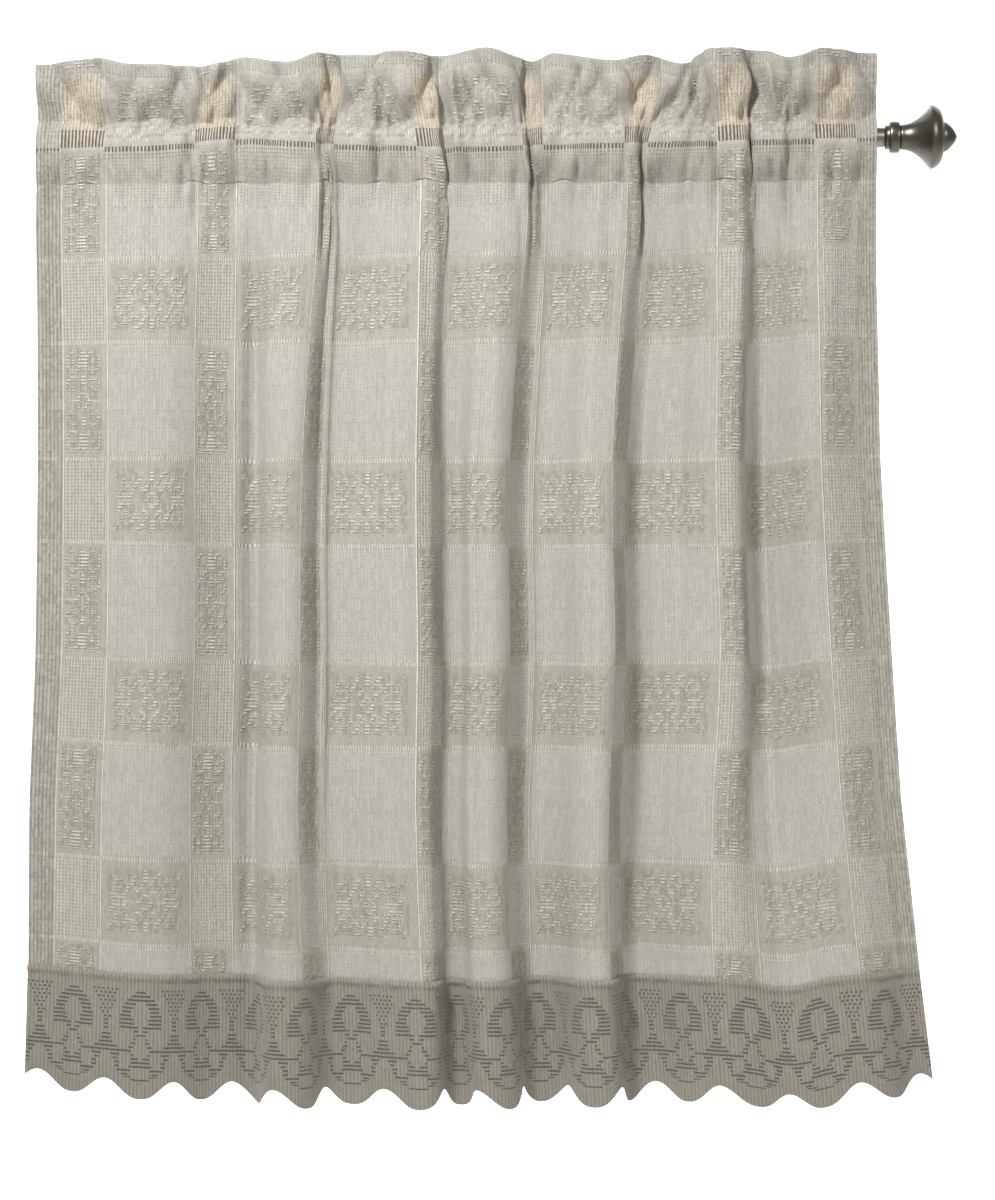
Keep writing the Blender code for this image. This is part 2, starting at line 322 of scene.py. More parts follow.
# All places below were measured on the curtain in metres, from the rod's axis and the cloth's left edge
HALF_FOLDS = (
    HalfFold(0.0636, 26, 22, 10, 8),
    HalfFold(0.0751, -42, -46, -51, -45),
    HalfFold(0.0347, 62, 57, 78, 75),
    HalfFold(0.0549, -68, -77, -73, -69),
    HalfFold(0.0457, 76, 40, 8, 22),
    HalfFold(0.0381, -67, -80, -81, -84),
    HalfFold(0.0260, 56, 52, 80, 76),
    HalfFold(0.0607, -71, -73, -72, -80),
    HalfFold(0.0376, 53, 59, 52, 59),
    HalfFold(0.0509, -52, -76, -88, -86),
    HalfFold(0.0532, 88, 61, 16, 32),
    HalfFold(0.0376, -73, -79, -82, -24),
    HalfFold(0.0405, 74, 70, 48, 14),
    HalfFold(0.0451, -45, -48, -43, -45),
)
LEVELS = (
    Level(0.0540, -0.2435, 0.2435, 0.55),
    Level(0.0240, -0.2425, 0.2430, 0.36),
    Level(0.0110, -0.2415, 0.2428, 0.10),
    Level(0.0015, -0.2412, 0.2427, 0.03),
    Level(-0.0120, -0.2412, 0.2427, 0.06),
    Level(-0.0260, -0.2412, 0.2427, 0.20),
    Level(-0.0800, -0.2412, 0.2430, 0.50),
    Level(-0.1830, -0.2412, 0.2455, 0.90),
    Level(-0.3000, -0.2430, 0.2525, 1.00),
    Level(-0.3800, -0.2460, 0.2575, 1.00),
    Level(-0.4800, -0.2470, 0.2680, 1.00),
    Level(-0.5700, -0.2505, 0.2790, 1.00),
)
HEADING_EDGE = (
    (-0.244, 0.0430),
    (-0.207, 0.0460),
    (-0.187, 0.0422),
    (-0.150, 0.0416),
    (-0.121, 0.0480),
    (-0.095, 0.0440),
    (-0.077, 0.0500),
    (-0.034, 0.0505),
    (-0.013, 0.0485),
    (0.018, 0.0525),
    (0.044, 0.0470),
    (0.057, 0.0525),
    (0.091, 0.0465),
    (0.113, 0.0510),
    (0.131, 0.0465),
    (0.149, 0.0525),
    (0.180, 0.0525),
    (0.195, 0.0475),
    (0.213, 0.0520),
    (0.244, 0.0500),
)
LADDER_LINE = (
    (0.000, -0.0052),
    (0.070, -0.0042),
    (0.135, 0.0004),
    (0.200, -0.0032),
    (0.310, -0.0061),
    (0.400, -0.0044),
    (0.520, -0.0030),
    (0.664, -0.0020),
)
PUCKERS = (
    Pucker(0.0300, 0.0060, 0.4),
    Pucker(0.0985, 0.0070, 0.9),
    Pucker(0.1320, 0.0060, 0.8),
    Pucker(0.1650, 0.0060, 0.4),
    Pucker(0.1945, 0.0070, 1.0),
    Pucker(0.2200, 0.0060, 0.7),
    Pucker(0.2470, 0.0070, 0.8),
    Pucker(0.2765, 0.0060, 0.9),
    Pucker(0.3030, 0.0060, 0.8),
    Pucker(0.3400, 0.0080, 0.3),
    Pucker(0.3740, 0.0060, 0.9),
    Pucker(0.4020, 0.0080, 0.9),
    Pucker(0.4400, 0.0060, 0.4),
    Pucker(0.4705, 0.0070, 0.9),
    Pucker(0.5110, 0.0080, 0.7),
    Pucker(0.5370, 0.0060, 0.8),
    Pucker(0.5620, 0.0070, 1.0),
    Pucker(0.6010, 0.0070, 0.6),
)
CREASES = (
    Crease(0.1405, -0.030, 0.1405, -0.560, 0.0046, -0.0070),
    Crease(-0.0020, 0.060, -0.0020, -0.600, 0.0100, 0.0050),
    Crease(0.3400, -0.030, 0.3381, -0.560, 0.0040, -0.0030),
    Crease(0.4873, -0.060, 0.4873, -0.560, 0.0050, -0.0040),
    Crease(0.5781, -0.060, 0.5781, -0.560, 0.0050, -0.0040),
    Crease(0.0980, 0.012, 0.1010, -0.060, 0.0040, -0.0037),
    Crease(0.1320, 0.046, 0.1310, -0.060, 0.0042, -0.0036),
    Crease(0.1190, 0.050, 0.1060, 0.004, 0.0050, 0.0051),
    Crease(0.1945, 0.034, 0.1950, -0.080, 0.0042, -0.0036),
    Crease(0.2160, 0.010, 0.2165, -0.480, 0.0030, 0.0024),
    Crease(0.2080, -0.040, 0.2090, -0.470, 0.0032, -0.0016),
    Crease(0.2450, 0.050, 0.2470, -0.050, 0.0040, -0.0051),
    Crease(0.2540, 0.050, 0.2580, 0.006, 0.0040, 0.0044),
    Crease(0.2750, 0.020, 0.2740, -0.470, 0.0028, 0.0026),
    Crease(0.3040, 0.052, 0.3060, -0.036, 0.0040, -0.0046),
    Crease(0.3120, 0.052, 0.3140, -0.020, 0.0036, 0.0051),
    Crease(0.3720, 0.052, 0.3740, -0.046, 0.0042, -0.0040),
    Crease(0.3900, 0.000, 0.3896, -0.470, 0.0028, 0.0014),
    Crease(0.4180, 0.046, 0.3990, 0.002, 0.0050, -0.0051),
    Crease(0.4060, 0.000, 0.4080, -0.080, 0.0046, 0.0026),
    Crease(0.4700, 0.026, 0.4705, -0.080, 0.0044, -0.0032),
    Crease(0.4980, 0.052, 0.4800, 0.004, 0.0046, -0.0050),
    Crease(0.5070, 0.052, 0.4900, 0.004, 0.0042, 0.0058),
    Crease(0.5300, 0.050, 0.5380, -0.070, 0.0046, -0.0036),
    Crease(0.5460, 0.000, 0.5480, -0.130, 0.0040, 0.0024),
    Crease(0.5680, 0.052, 0.5620, -0.030, 0.0044, -0.0048),
    Crease(0.5780, 0.050, 0.5900, 0.004, 0.0050, 0.0051),
    Crease(0.6010, 0.030, 0.6040, -0.070, 0.0040, -0.0041),
    Crease(0.6200, 0.050, 0.6180, 0.004, 0.0040, -0.0037),
    Crease(0.0500, -0.010, 0.0640, -0.170, 0.0110, 0.0016),
    Crease(0.1640, -0.020, 0.1620, -0.190, 0.0070, 0.0020),
    Crease(0.3400, -0.020, 0.3420, -0.200, 0.0060, 0.0018),
    Crease(0.4400, -0.020, 0.4420, -0.240, 0.0060, -0.0018),
    Crease(0.5060, -0.030, 0.5160, -0.300, 0.0070, -0.0020),
    Crease(0.6280, -0.040, 0.6100, -0.330, 0.0090, 0.0022),
)
GATHERS = (
    Gather(0.0120, 0.0070, 0.0094, 0.00130, 0.25, 0.4),
    Gather(0.0090, 0.0110, 0.0147, 0.00200, -0.35, 2.1),
    Gather(-0.0190, 0.0080, 0.0113, 0.00150, 0.30, 1.2),
    Gather(-0.0230, 0.0130, 0.0187, 0.00180, -0.20, 0.3),
    Gather(0.0340, 0.0160, 0.0230, 0.00290, 0.55, 0.9),
    Gather(0.0280, 0.0140, 0.0345, 0.00360, -0.60, 3.0),
    Gather(-0.0450, 0.0280, 0.0165, 0.00110, 0.10, 2.6),
)
# Gathers sway over some of their pitches, and swell as they sway
SWAY = 0.7
SWAY_PITCHES = 4.7
LEAST_SWELL = 0.7
SWELL = 0.4


@dataclass
class GatheredHang:
    """The plan of the gathered cloth at every height, as a fine grid of points to read between."""

    flat_step: float = 0.0005
    z_high: float = 0.060
    z_low: float = -0.566
    z_step: float = 0.002
    fold_depth: float = 0.92
    z_heading: float = 0.040
    z_rod: float = -0.020
    z_mid: float = -0.267
    z_hem: float = -0.530
    width: float = field(init=False)
    flats: np.ndarray = field(init=False)
    zs: np.ndarray = field(init=False)
    grid: np.ndarray = field(init=False)

    def __post_init__(self) -> None:
        """Works the grid out: x, y and the two parts of the way the cloth faces, by height and flat place."""
        self.width = sum(fold.flat for fold in HALF_FOLDS)
        count = round(self.width / self.flat_step)
        self.flats = np.linspace(0.0, self.width, count + 1)
        levels = round((self.z_high - self.z_low) / self.z_step)
        self.zs = np.linspace(self.z_high, self.z_low, levels + 1)
        angle = self._angles(0.5 * (self.flats[1:] + self.flats[:-1]))
        step = self.flats[1] - self.flats[0]
        start = np.zeros((len(self.zs), 1))
        x = np.hstack([start, np.cumsum(np.cos(angle), axis=1) * step])
        y = np.hstack([start, -np.cumsum(np.sin(angle), axis=1) * step])
        y -= y[:, -1:] / x[:, -1:] * x
        y -= 0.5 * (y.min(axis=1, keepdims=True) + y.max(axis=1, keepdims=True))
        heights = [level.z for level in LEVELS][::-1]
        left, right, depth = (
            np.interp(self.zs, heights, [getattr(level, name) for level in LEVELS][::-1])[:, None]
            for name in ("left", "right", "depth")
        )
        x = left + x * (right - left) / x[:, -1:]
        y = y * depth * self.fold_depth
        along_x = np.gradient(x, axis=1)
        along_y = np.gradient(y, axis=1)
        length = np.hypot(along_x, along_y)
        self.grid = np.stack([x, y, along_y / length, -along_x / length])

    def _angles(self, flats: np.ndarray) -> np.ndarray:
        """Works out how far the cloth turns from facing the front.

        Args:
            flats: Flat distances from the left side.

        Returns:
            Tilt in radians, a row for each height and a column for each flat place.
        """
        marks = np.cumsum([0.0] + [fold.flat for fold in HALF_FOLDS])
        index = np.clip(np.searchsorted(marks, flats, side="right") - 1, 0, len(HALF_FOLDS) - 1)
        across = (flats - marks[index]) / (marks[index + 1] - marks[index])
        tilts = {
            name: np.radians([getattr(fold, name) for fold in HALF_FOLDS])
            for name in ("heading", "rod", "mid", "hem")
        }
        spans = (
            ("heading", "rod", self.z_heading, self.z_rod),
            ("rod", "mid", self.z_rod, self.z_mid),
            ("mid", "hem", self.z_mid, self.z_hem),
        )
        tilt = np.tile(tilts["heading"], (len(self.zs), 1))
        for upper, lower, high, low in spans:
            share = ease((high - self.zs) / (high - low))[:, None]
            inside = (self.zs <= high)[:, None]
            tilt = np.where(inside, tilts[upper] + (tilts[lower] - tilts[upper]) * share, tilt)
        return tilt[:, index] * np.sin(np.pi * across)

    def place(self, flat: np.ndarray, z: np.ndarray, offset: np.ndarray) -> np.ndarray:
        """Points on the cloth.

        Args:
            flat: Flat distances from the left side.
            z: Heights.
            offset: Distances in front of the middle surface, along the way it faces.

        Returns:
            One row of x, y and z for each point.
        """
        column = np.clip(flat / self.width, 0.0, 1.0) * (len(self.flats) - 1)
        row = np.clip((self.zs[0] - z) / self.z_step, 0.0, len(self.zs) - 1)
        c0 = np.minimum(column.astype(int), len(self.flats) - 2)
        r0 = np.minimum(row.astype(int), len(self.zs) - 2)
        cf = column - c0
        rf = row - r0
        upper = self.grid[:, r0, c0] * (1 - cf) + self.grid[:, r0, c0 + 1] * cf
        lower = self.grid[:, r0 + 1, c0] * (1 - cf) + self.grid[:, r0 + 1, c0 + 1] * cf
        x, y, nx, ny = upper * (1 - rf) + lower * rf
        return np.stack([x + nx * offset, y + ny * offset, z], axis=-1)


def relief(flat: np.ndarray, z: np.ndarray) -> np.ndarray:
    """Height of the creases over the cloth's own folds. Each swells over a fifth and fades over a third.

    Args:
        flat: Flat distances from the left side.
        z: Heights.

    Returns:
        Heights in metres, towards the front.
    """
    total = np.zeros(np.broadcast(flat, z).shape)
    for crease in CREASES:
        share = (crease.z_top - z) / (crease.z_top - crease.z_foot)
        centre = crease.flat_top + (crease.flat_foot - crease.flat_top) * np.clip(share, 0, 1)
        fade = ease(share * 5.0) * ease((1.0 - share) * 3.0)
        total = total + crease.height * fade * hump(flat - centre, crease.width)
    return total


def crinkle(flat: np.ndarray, z: np.ndarray) -> np.ndarray:
    """Small gathers that the stitches pinch into the heading and just below the pocket. They sway as they run.

    Args:
        flat: Flat distances from the left side.
        z: Heights.

    Returns:
        Heights in metres, towards the front.
    """
    total = np.zeros(np.broadcast(flat, z).shape)
    for gather in GATHERS:
        reach = hump(z - gather.z, gather.reach)
        sway = SWAY * np.sin(2.0 * np.pi * flat / (gather.pitch * SWAY_PITCHES) + gather.phase)
        turn = 2.0 * np.pi * (flat + gather.lean * (z - gather.z)) / gather.pitch + gather.phase
        puff = 2.0 * np.abs(np.sin(0.5 * turn + sway)) - 1.0
        total = total + gather.height * reach * puff * (LEAST_SWELL + SWELL * sway)
    return total


def pucker(flat: np.ndarray) -> np.ndarray:
    """How far the pocket is drawn into a furrow, from 0 to 1."""
    return np.minimum(1.0, sum(p.pull * hump(flat - p.flat, p.width) for p in PUCKERS))


class Band(Enum):
    """Rows of the lace check."""

    SHORT = "short"
    TALL = "tall"


class Column(Enum):
    """Columns of the lace check."""

    HEM = "hem"
    NARROW = "narrow"
    WIDE = "wide"


class Side(Enum):
    """Side edges of the cloth."""

    LEFT = "left"
    RIGHT = "right"


@dataclass(frozen=True)
class CheckRow:
    """One row of the check from the heading's top: its kind, its courses and where its foot hangs."""

    band: Band
    courses: int
    length: float
    foot_z: float


@dataclass
class LaceCheck:
    """Layout of the check: which stitch each cell of the lace holds."""

    hem_wales: int = 9
    narrow_wales: int = 18
    wide_wales: int = 36
    narrow_columns: int = 8
    narrow_width: float = 0.0289
    wide_width: float = 0.0578
    hem_width: float = 0.0139
    tall_courses: int = 34
    short_courses: int = 24
    half_stroke: float = 0.52
    rows: tuple[CheckRow, ...] = (
        CheckRow(Band.TALL, 5, 0.0090, 0.0370),
        CheckRow(Band.SHORT, 24, 0.0475, -0.0045),
        CheckRow(Band.TALL, 34, 0.0670, -0.0670),
        CheckRow(Band.SHORT, 24, 0.0475, -0.1150),
        CheckRow(Band.TALL, 34, 0.0670, -0.1826),
        CheckRow(Band.SHORT, 24, 0.0475, -0.2306),
        CheckRow(Band.TALL, 34, 0.0670, -0.2977),
        CheckRow(Band.SHORT, 24, 0.0475, -0.3450),
        CheckRow(Band.TALL, 34, 0.0670, -0.4115),
        CheckRow(Band.SHORT, 24, 0.0475, -0.4595),
        CheckRow(Band.TALL, 11, 0.0210, -0.4800),
    )

    def columns(self) -> list[tuple[Column, slice]]:
        """Lays the columns out from the left side.

        Returns:
            Each column's kind and its wales.
        """
        inner = [(Column.NARROW, self.narrow_wales), (Column.WIDE, self.wide_wales)] * self.narrow_columns
        hem = (Column.HEM, self.hem_wales)
        spans, start = [], 0
        for kind, wales in (hem, *inner[:-1], hem):
            spans.append((kind, slice(start, start + wales)))
            start += wales
        return spans

    def wale_lines(self, width: float) -> np.ndarray:
        """Flat distances of the lines between wales.

        Args:
            width: The cloth's whole flat width.

        Returns:
            One more distance than there are wales.
        """
        inner = self.narrow_columns * self.narrow_width + (self.narrow_columns - 1) * self.wide_width
        sizes = {
            Column.HEM: 0.5 * (width - inner),
            Column.NARROW: self.narrow_width,
            Column.WIDE: self.wide_width,
        }
        lines = [0.0]
        for kind, span in self.columns():
            wales = span.stop - span.start
            lines += [lines[-1] + sizes[kind] * (i + 1) / wales for i in range(wales)]
        return np.array(lines)

    def whole(self, band: Band) -> int:
        """Courses of a whole row of the check."""
        return self.short_courses if band is Band.SHORT else self.tall_courses

    def front_courses(self) -> list[tuple[Band, int]]:
        """Lists the front's courses from the heading's top.

        Returns:
            Each course's band, and its number in the band.
        """
        skipped = self.whole(self.rows[0].band) - self.rows[0].courses
        kinds = []
        for row in self.rows:
            kinds += [(row.band, skipped + i) for i in range(row.courses)]
            skipped = 0
        return kinds

    def back_courses(self, count: int) -> list[tuple[Band, int]]:
        """Lists the courses that run over the top and down the back.

        Args:
            count: How many.

        Returns:
            Each course's band, and its number in the band.
        """
        kinds = []
        band, course = Band.TALL, self.tall_courses - self.rows[0].courses - 1
        for _ in range(count):
            kinds.append((band, course))
            course -= 1
            if course < 0:
                band = Band.SHORT if band is Band.TALL else Band.TALL
                course = self.whole(band) - 1
        return kinds

    def stitches(self, courses: list[tuple[Band, int]]) -> np.ndarray:
        """Stitch values of a run of courses.

        Args:
            courses: Band, and number in the band, of each course.

        Returns:
            Hole, slit, sheerness, cord and figure for each course and wale.
        """
        tiles = {
            (Column.NARROW, Band.SHORT): self.filet_tile(self.narrow_wales, self.short_courses),
            (Column.WIDE, Band.SHORT): self.scroll_tile(),
            (Column.NARROW, Band.TALL): self.rosette_tile(),
            (Column.WIDE, Band.TALL): self.net_tile(self.wide_wales, self.tall_courses),
            (Column.HEM, Band.SHORT): self.hem_tile(self.short_courses),
            (Column.HEM, Band.TALL): self.hem_tile(self.tall_courses),
        }
        kinds = [kind for kind, _ in self.columns()]
        lines = [[tiles[(kind, band)][course] for kind in kinds] for band, course in courses]
        return np.array([np.concatenate(line) for line in lines])

    @staticmethod
    def blank(wales: int, courses: int) -> np.ndarray:
        """Plain ribbed ground."""
        return np.zeros((courses, wales, FIGURE + 1))

    @staticmethod
    def edge(tile: np.ndarray) -> np.ndarray:
        """Gives a tile the cord at its left side and the comb of loops along its top.

        Args:
            tile: Stitch values, which are changed.

        Returns:
            The tile.
        """
        tile[0, :] = (0.0, 0.0, 0.0, 0.72, 0.0)
        tile[:, 0] = (0.0, 0.0, 0.0, 0.85, 0.0)
        return tile

    def filet_tile(self, wales: int, courses: int) -> np.ndarray:
        """Square mesh of small even holes.

        Args:
            wales: Cells across.
            courses: Cells down.

        Returns:
            The tile.
        """
        tile = self.blank(wales, courses)
        tile[..., HOLE] = 0.8
        tile[..., SHEER] = 0.15
        tile[..., CORD] = 0.22
        return self.edge(tile)

    def net_tile(self, wales: int, courses: int) -> np.ndarray:
        """Sheer net between two ladder rows.

        Args:
            wales: Cells across.
            courses: Cells down.

        Returns:
            The tile.
        """
        tile = self.blank(wales, courses)
        tile[..., HOLE] = 0.42
        tile[..., SHEER] = 1.0
        tile[1, :, :] = (0.55, 0.0, 0.5, 0.2, 0.0)
        tile[-1, :, :] = (0.60, 0.0, 0.3, 0.2, 0.0)
        return self.edge(tile)

    def hem_tile(self, courses: int) -> np.ndarray:
        """Turned side hem with a line of stitches near its inner edge, darkened all over by slits and holes:
        partly the doubled cloth, partly painted shade.

        Args:
            courses: Cells down.

        Returns:
            The tile.
        """
        tile = self.blank(self.hem_wales, courses)
        tile[..., HOLE] = 0.35
        tile[..., SLIT] = 0.55
        tile[::2, -2, SLIT] = 0.85
        tile[0, :, CORD] = 0.5
        return tile

    @staticmethod
    def drawn(wales: int, courses: int, strokes: tuple["Curl | Bar", ...], half_width: float) -> np.ndarray:
        """Cells that strokes cover.

        Args:
            wales: Cells across.
            courses: Cells down.
            strokes: Curls and bars in cells.
            half_width: Half the stroke in cells.

        Returns:
            Cover from 0 to 1 for each cell.
        """
        x, y = np.meshgrid(np.arange(wales) + 0.5, np.arange(courses) + 0.5)
        cover = np.zeros_like(x)
        for stroke in strokes:
            for px, py in stroke.dots():
                cover = np.maximum(cover, np.clip(1.5 - np.hypot(x - px, y - py) / half_width, 0, 1))
        return cover

    def figured(
        self,
        wales: int,
        courses: int,
        strokes: tuple["Curl | Bar", ...],
        margin: tuple[int, int],
        gaps: float,
    ) -> np.ndarray:
        """A tile of raised strokes, mirrored about its middle, inside a ribbed margin.

        Args:
            wales: Cells across.
            courses: Cells down.
            strokes: The left half's strokes.
            margin: Plain cells at the sides and at the ends.
            gaps: Width of the slits in the ground.

        Returns:
            The tile.
        """
        tile = self.blank(wales, courses)
        cover = self.drawn(wales // 2, courses, strokes, self.half_stroke)
        both = np.hstack([cover, cover[:, ::-1]])
        side, end = margin
        inside = np.zeros_like(both)
        inside[end : courses - end, side : wales - side] = 1.0
        tile[..., SLIT] = gaps * inside
        tile[..., SHEER] = 0.12
        tile[..., FIGURE] = both * inside
        return self.edge(tile)

    def scroll_tile(self) -> np.ndarray:
        """Mirrored scrolls inside a ribbed margin.

        Returns:
            The tile.
        """
        strokes = (
            Curl(8.3, 7.6, 0.8, 3.8, 20.0, 520.0),
            Curl(8.3, 16.4, 0.8, 3.8, -20.0, -520.0),
            Curl(14.6, 8.0, 0.6, 2.4, 180.0, -160.0),
            Curl(14.6, 16.0, 0.6, 2.4, 180.0, 520.0),
            Bar(4.0, 12.0, 14.0, 12.0),
            Bar(17.5, 3.5, 17.5, 6.0),
            Bar(17.5, 18.0, 17.5, 20.5),
            Bar(15.5, 12.0, 17.5, 10.0),
            Bar(15.5, 12.0, 17.5, 14.0),
            Bar(3.8, 3.8, 5.0, 5.4),
            Bar(3.8, 20.2, 5.0, 18.6),
            Bar(11.5, 3.6, 14.5, 4.4),
            Bar(11.5, 20.4, 14.5, 19.6),
        )
        return self.figured(self.wide_wales, self.short_courses, strokes, margin=(3, 3), gaps=0.30)

    def rosette_tile(self) -> np.ndarray:
        """Pairs of rosettes at both ends and mirrored scrolls between them.

        Returns:
            The tile.
        """
        strokes = (
            Curl(5.0, 5.6, 2.8, 2.8, 0.0, 360.0),
            Curl(5.0, 5.6, 0.4, 0.4, 0.0, 360.0),
            Curl(5.0, 28.8, 2.8, 2.8, 0.0, 360.0),
            Curl(5.0, 28.8, 0.4, 0.4, 0.0, 360.0),
            Bar(8.5, 2.5, 8.5, 7.5),
            Bar(8.5, 26.5, 8.5, 31.5),
            Curl(4.6, 12.6, 0.8, 2.8, 0.0, 330.0),
            Curl(4.6, 21.6, 0.8, 2.8, 0.0, -330.0),
            Bar(2.2, 17.1, 6.5, 17.1),
            Bar(6.5, 17.1, 8.5, 14.5),
            Bar(6.5, 17.1, 8.5, 19.7),
            Bar(8.5, 10.0, 8.5, 12.0),
            Bar(8.5, 22.2, 8.5, 24.2),
        )
        return self.figured(self.narrow_wales, self.tall_courses, strokes, margin=(2, 2), gaps=0.62)


@dataclass(frozen=True)
class Curl:
    """A stroke round a centre whose radius grows from one end to the other, in cells and degrees."""

    x: float
    y: float
    inner: float
    outer: float
    start: float
    end: float

    def dots(self) -> list[tuple[float, float]]:
        """Walks along the stroke, with a point for every 8 degrees or so.

        Returns:
            The points in cells.
        """
        steps = max(8, int(abs(self.end - self.start) / 8))
        shares = [i / steps for i in range(steps + 1)]
        turns = [math.radians(self.start + (self.end - self.start) * share) for share in shares]
        radii = [self.inner + (self.outer - self.inner) * share for share in shares]
        return [(self.x + r * math.cos(a), self.y + r * math.sin(a)) for r, a in zip(radii, turns)]


@dataclass(frozen=True)
class Bar:
    """A straight stroke, in cells."""

    x0: float
    y0: float
    x1: float
    y1: float

    def dots(self) -> list[tuple[float, float]]:
        """Points along the stroke."""
        shares = [i / 24 for i in range(25)]
        return [(self.x0 + (self.x1 - self.x0) * t, self.y0 + (self.y1 - self.y0) * t) for t in shares]


def yarn_tone(rows: int, columns: int, seed: int) -> np.ndarray:
    """Unevenness of the yarn, from -1 to 1: along wales, along courses and from stitch to stitch.

    Args:
        rows: Rows of faces.
        columns: Columns of faces.
        seed: Fixes the result.

    Returns:
        One value for each face.
    """
    chance = np.random.default_rng(seed)
    by_wale, by_line, by_stitch, by_dash = 0.16, 0.10, 0.32, 0.34
    dash_rows = 3
    wales = chance.normal(0.0, by_wale, (1, columns))
    lines = chance.normal(0.0, by_line, (rows, 1))
    single = chance.normal(0.0, by_stitch, (rows, columns))
    dashes = chance.normal(0.0, by_dash, (rows // dash_rows + 1, columns)).repeat(dash_rows, axis=0)[:rows]
    return np.clip(wales + lines + single + dashes, -1.0, 1.0)


def hang_cloth(
    name: str,
    points: np.ndarray,
    stitches: np.ndarray,
    courses: tuple[float, float],
    material: bpy.types.Material,
    cream: np.ndarray | float = 0.0,
) -> bpy.types.Object:
    """Adds a flat grid, moves its points to where the cloth hangs and gives each face its stitch.

    Args:
        name: The piece's name.
        points: Rows from the foot up, then columns, then x, y and z.
        stitches: Hole, slit, sheerness, cord and figure for each row and column of faces.
        courses: Course number of the lowest row of points, from the top, and courses from row to row.
        material: The lace.
        cream: Share of cream yarn for the same faces.

    Returns:
        The piece.
    """
    rows, columns = points.shape[:2]
    bpy.ops.object.select_all(action="DESELECT")
    bpy.ops.mesh.primitive_grid_add(x_subdivisions=columns - 1, y_subdivisions=rows - 1, size=1.0)
    piece = bpy.context.active_object
    piece.name = name
    mesh = piece.data
    mesh.name = name
    mesh.vertices.foreach_set("co", points.reshape(-1).astype(np.float32))
    corners = np.empty(len(mesh.loops), dtype=np.int32)
    mesh.loops.foreach_get("vertex_index", corners)
    course = courses[0] - (corners // columns) * courses[1]
    cloth = np.stack([(corners % columns) / CELLS_TO_MAP, (course + BACK_COURSES) / CELLS_TO_MAP], axis=-1)
    mesh.uv_layers.active.name = "cloth"
    mesh.uv_layers["cloth"].data.foreach_set("uv", cloth.reshape(-1).astype(np.float32))
    starts = np.empty(len(mesh.polygons), dtype=np.int32)
    mesh.polygons.foreach_get("loop_start", starts)
    lowest = corners.reshape(len(starts), 4).min(axis=1)
    row, column = lowest // columns, lowest % columns
    stitch = mesh.attributes.new("stitch", "FLOAT_COLOR", "FACE")
    stitch.data.foreach_set("color", stitches[row, column, :FIGURE].reshape(-1).astype(np.float32))
    figure = np.pad(stitches[..., FIGURE], ((0, 1), (0, 1)), mode="edge")
    raised = mesh.attributes.new("figure", "FLOAT", "POINT")
    raised.data.foreach_set("value", figure.reshape(-1).astype(np.float32))
    faces = (rows - 1, columns - 1)
    yarns = {"cream": np.broadcast_to(cream, faces), "tone": yarn_tone(*faces, rows + columns)}
    for yarn, values in yarns.items():
        layer = mesh.attributes.new(yarn, "FLOAT", "FACE")
        layer.data.foreach_set("value", values[row, column].astype(np.float32))
    mesh.shade_smooth()
    mesh.update()
    mesh.materials.append(material)
    return piece


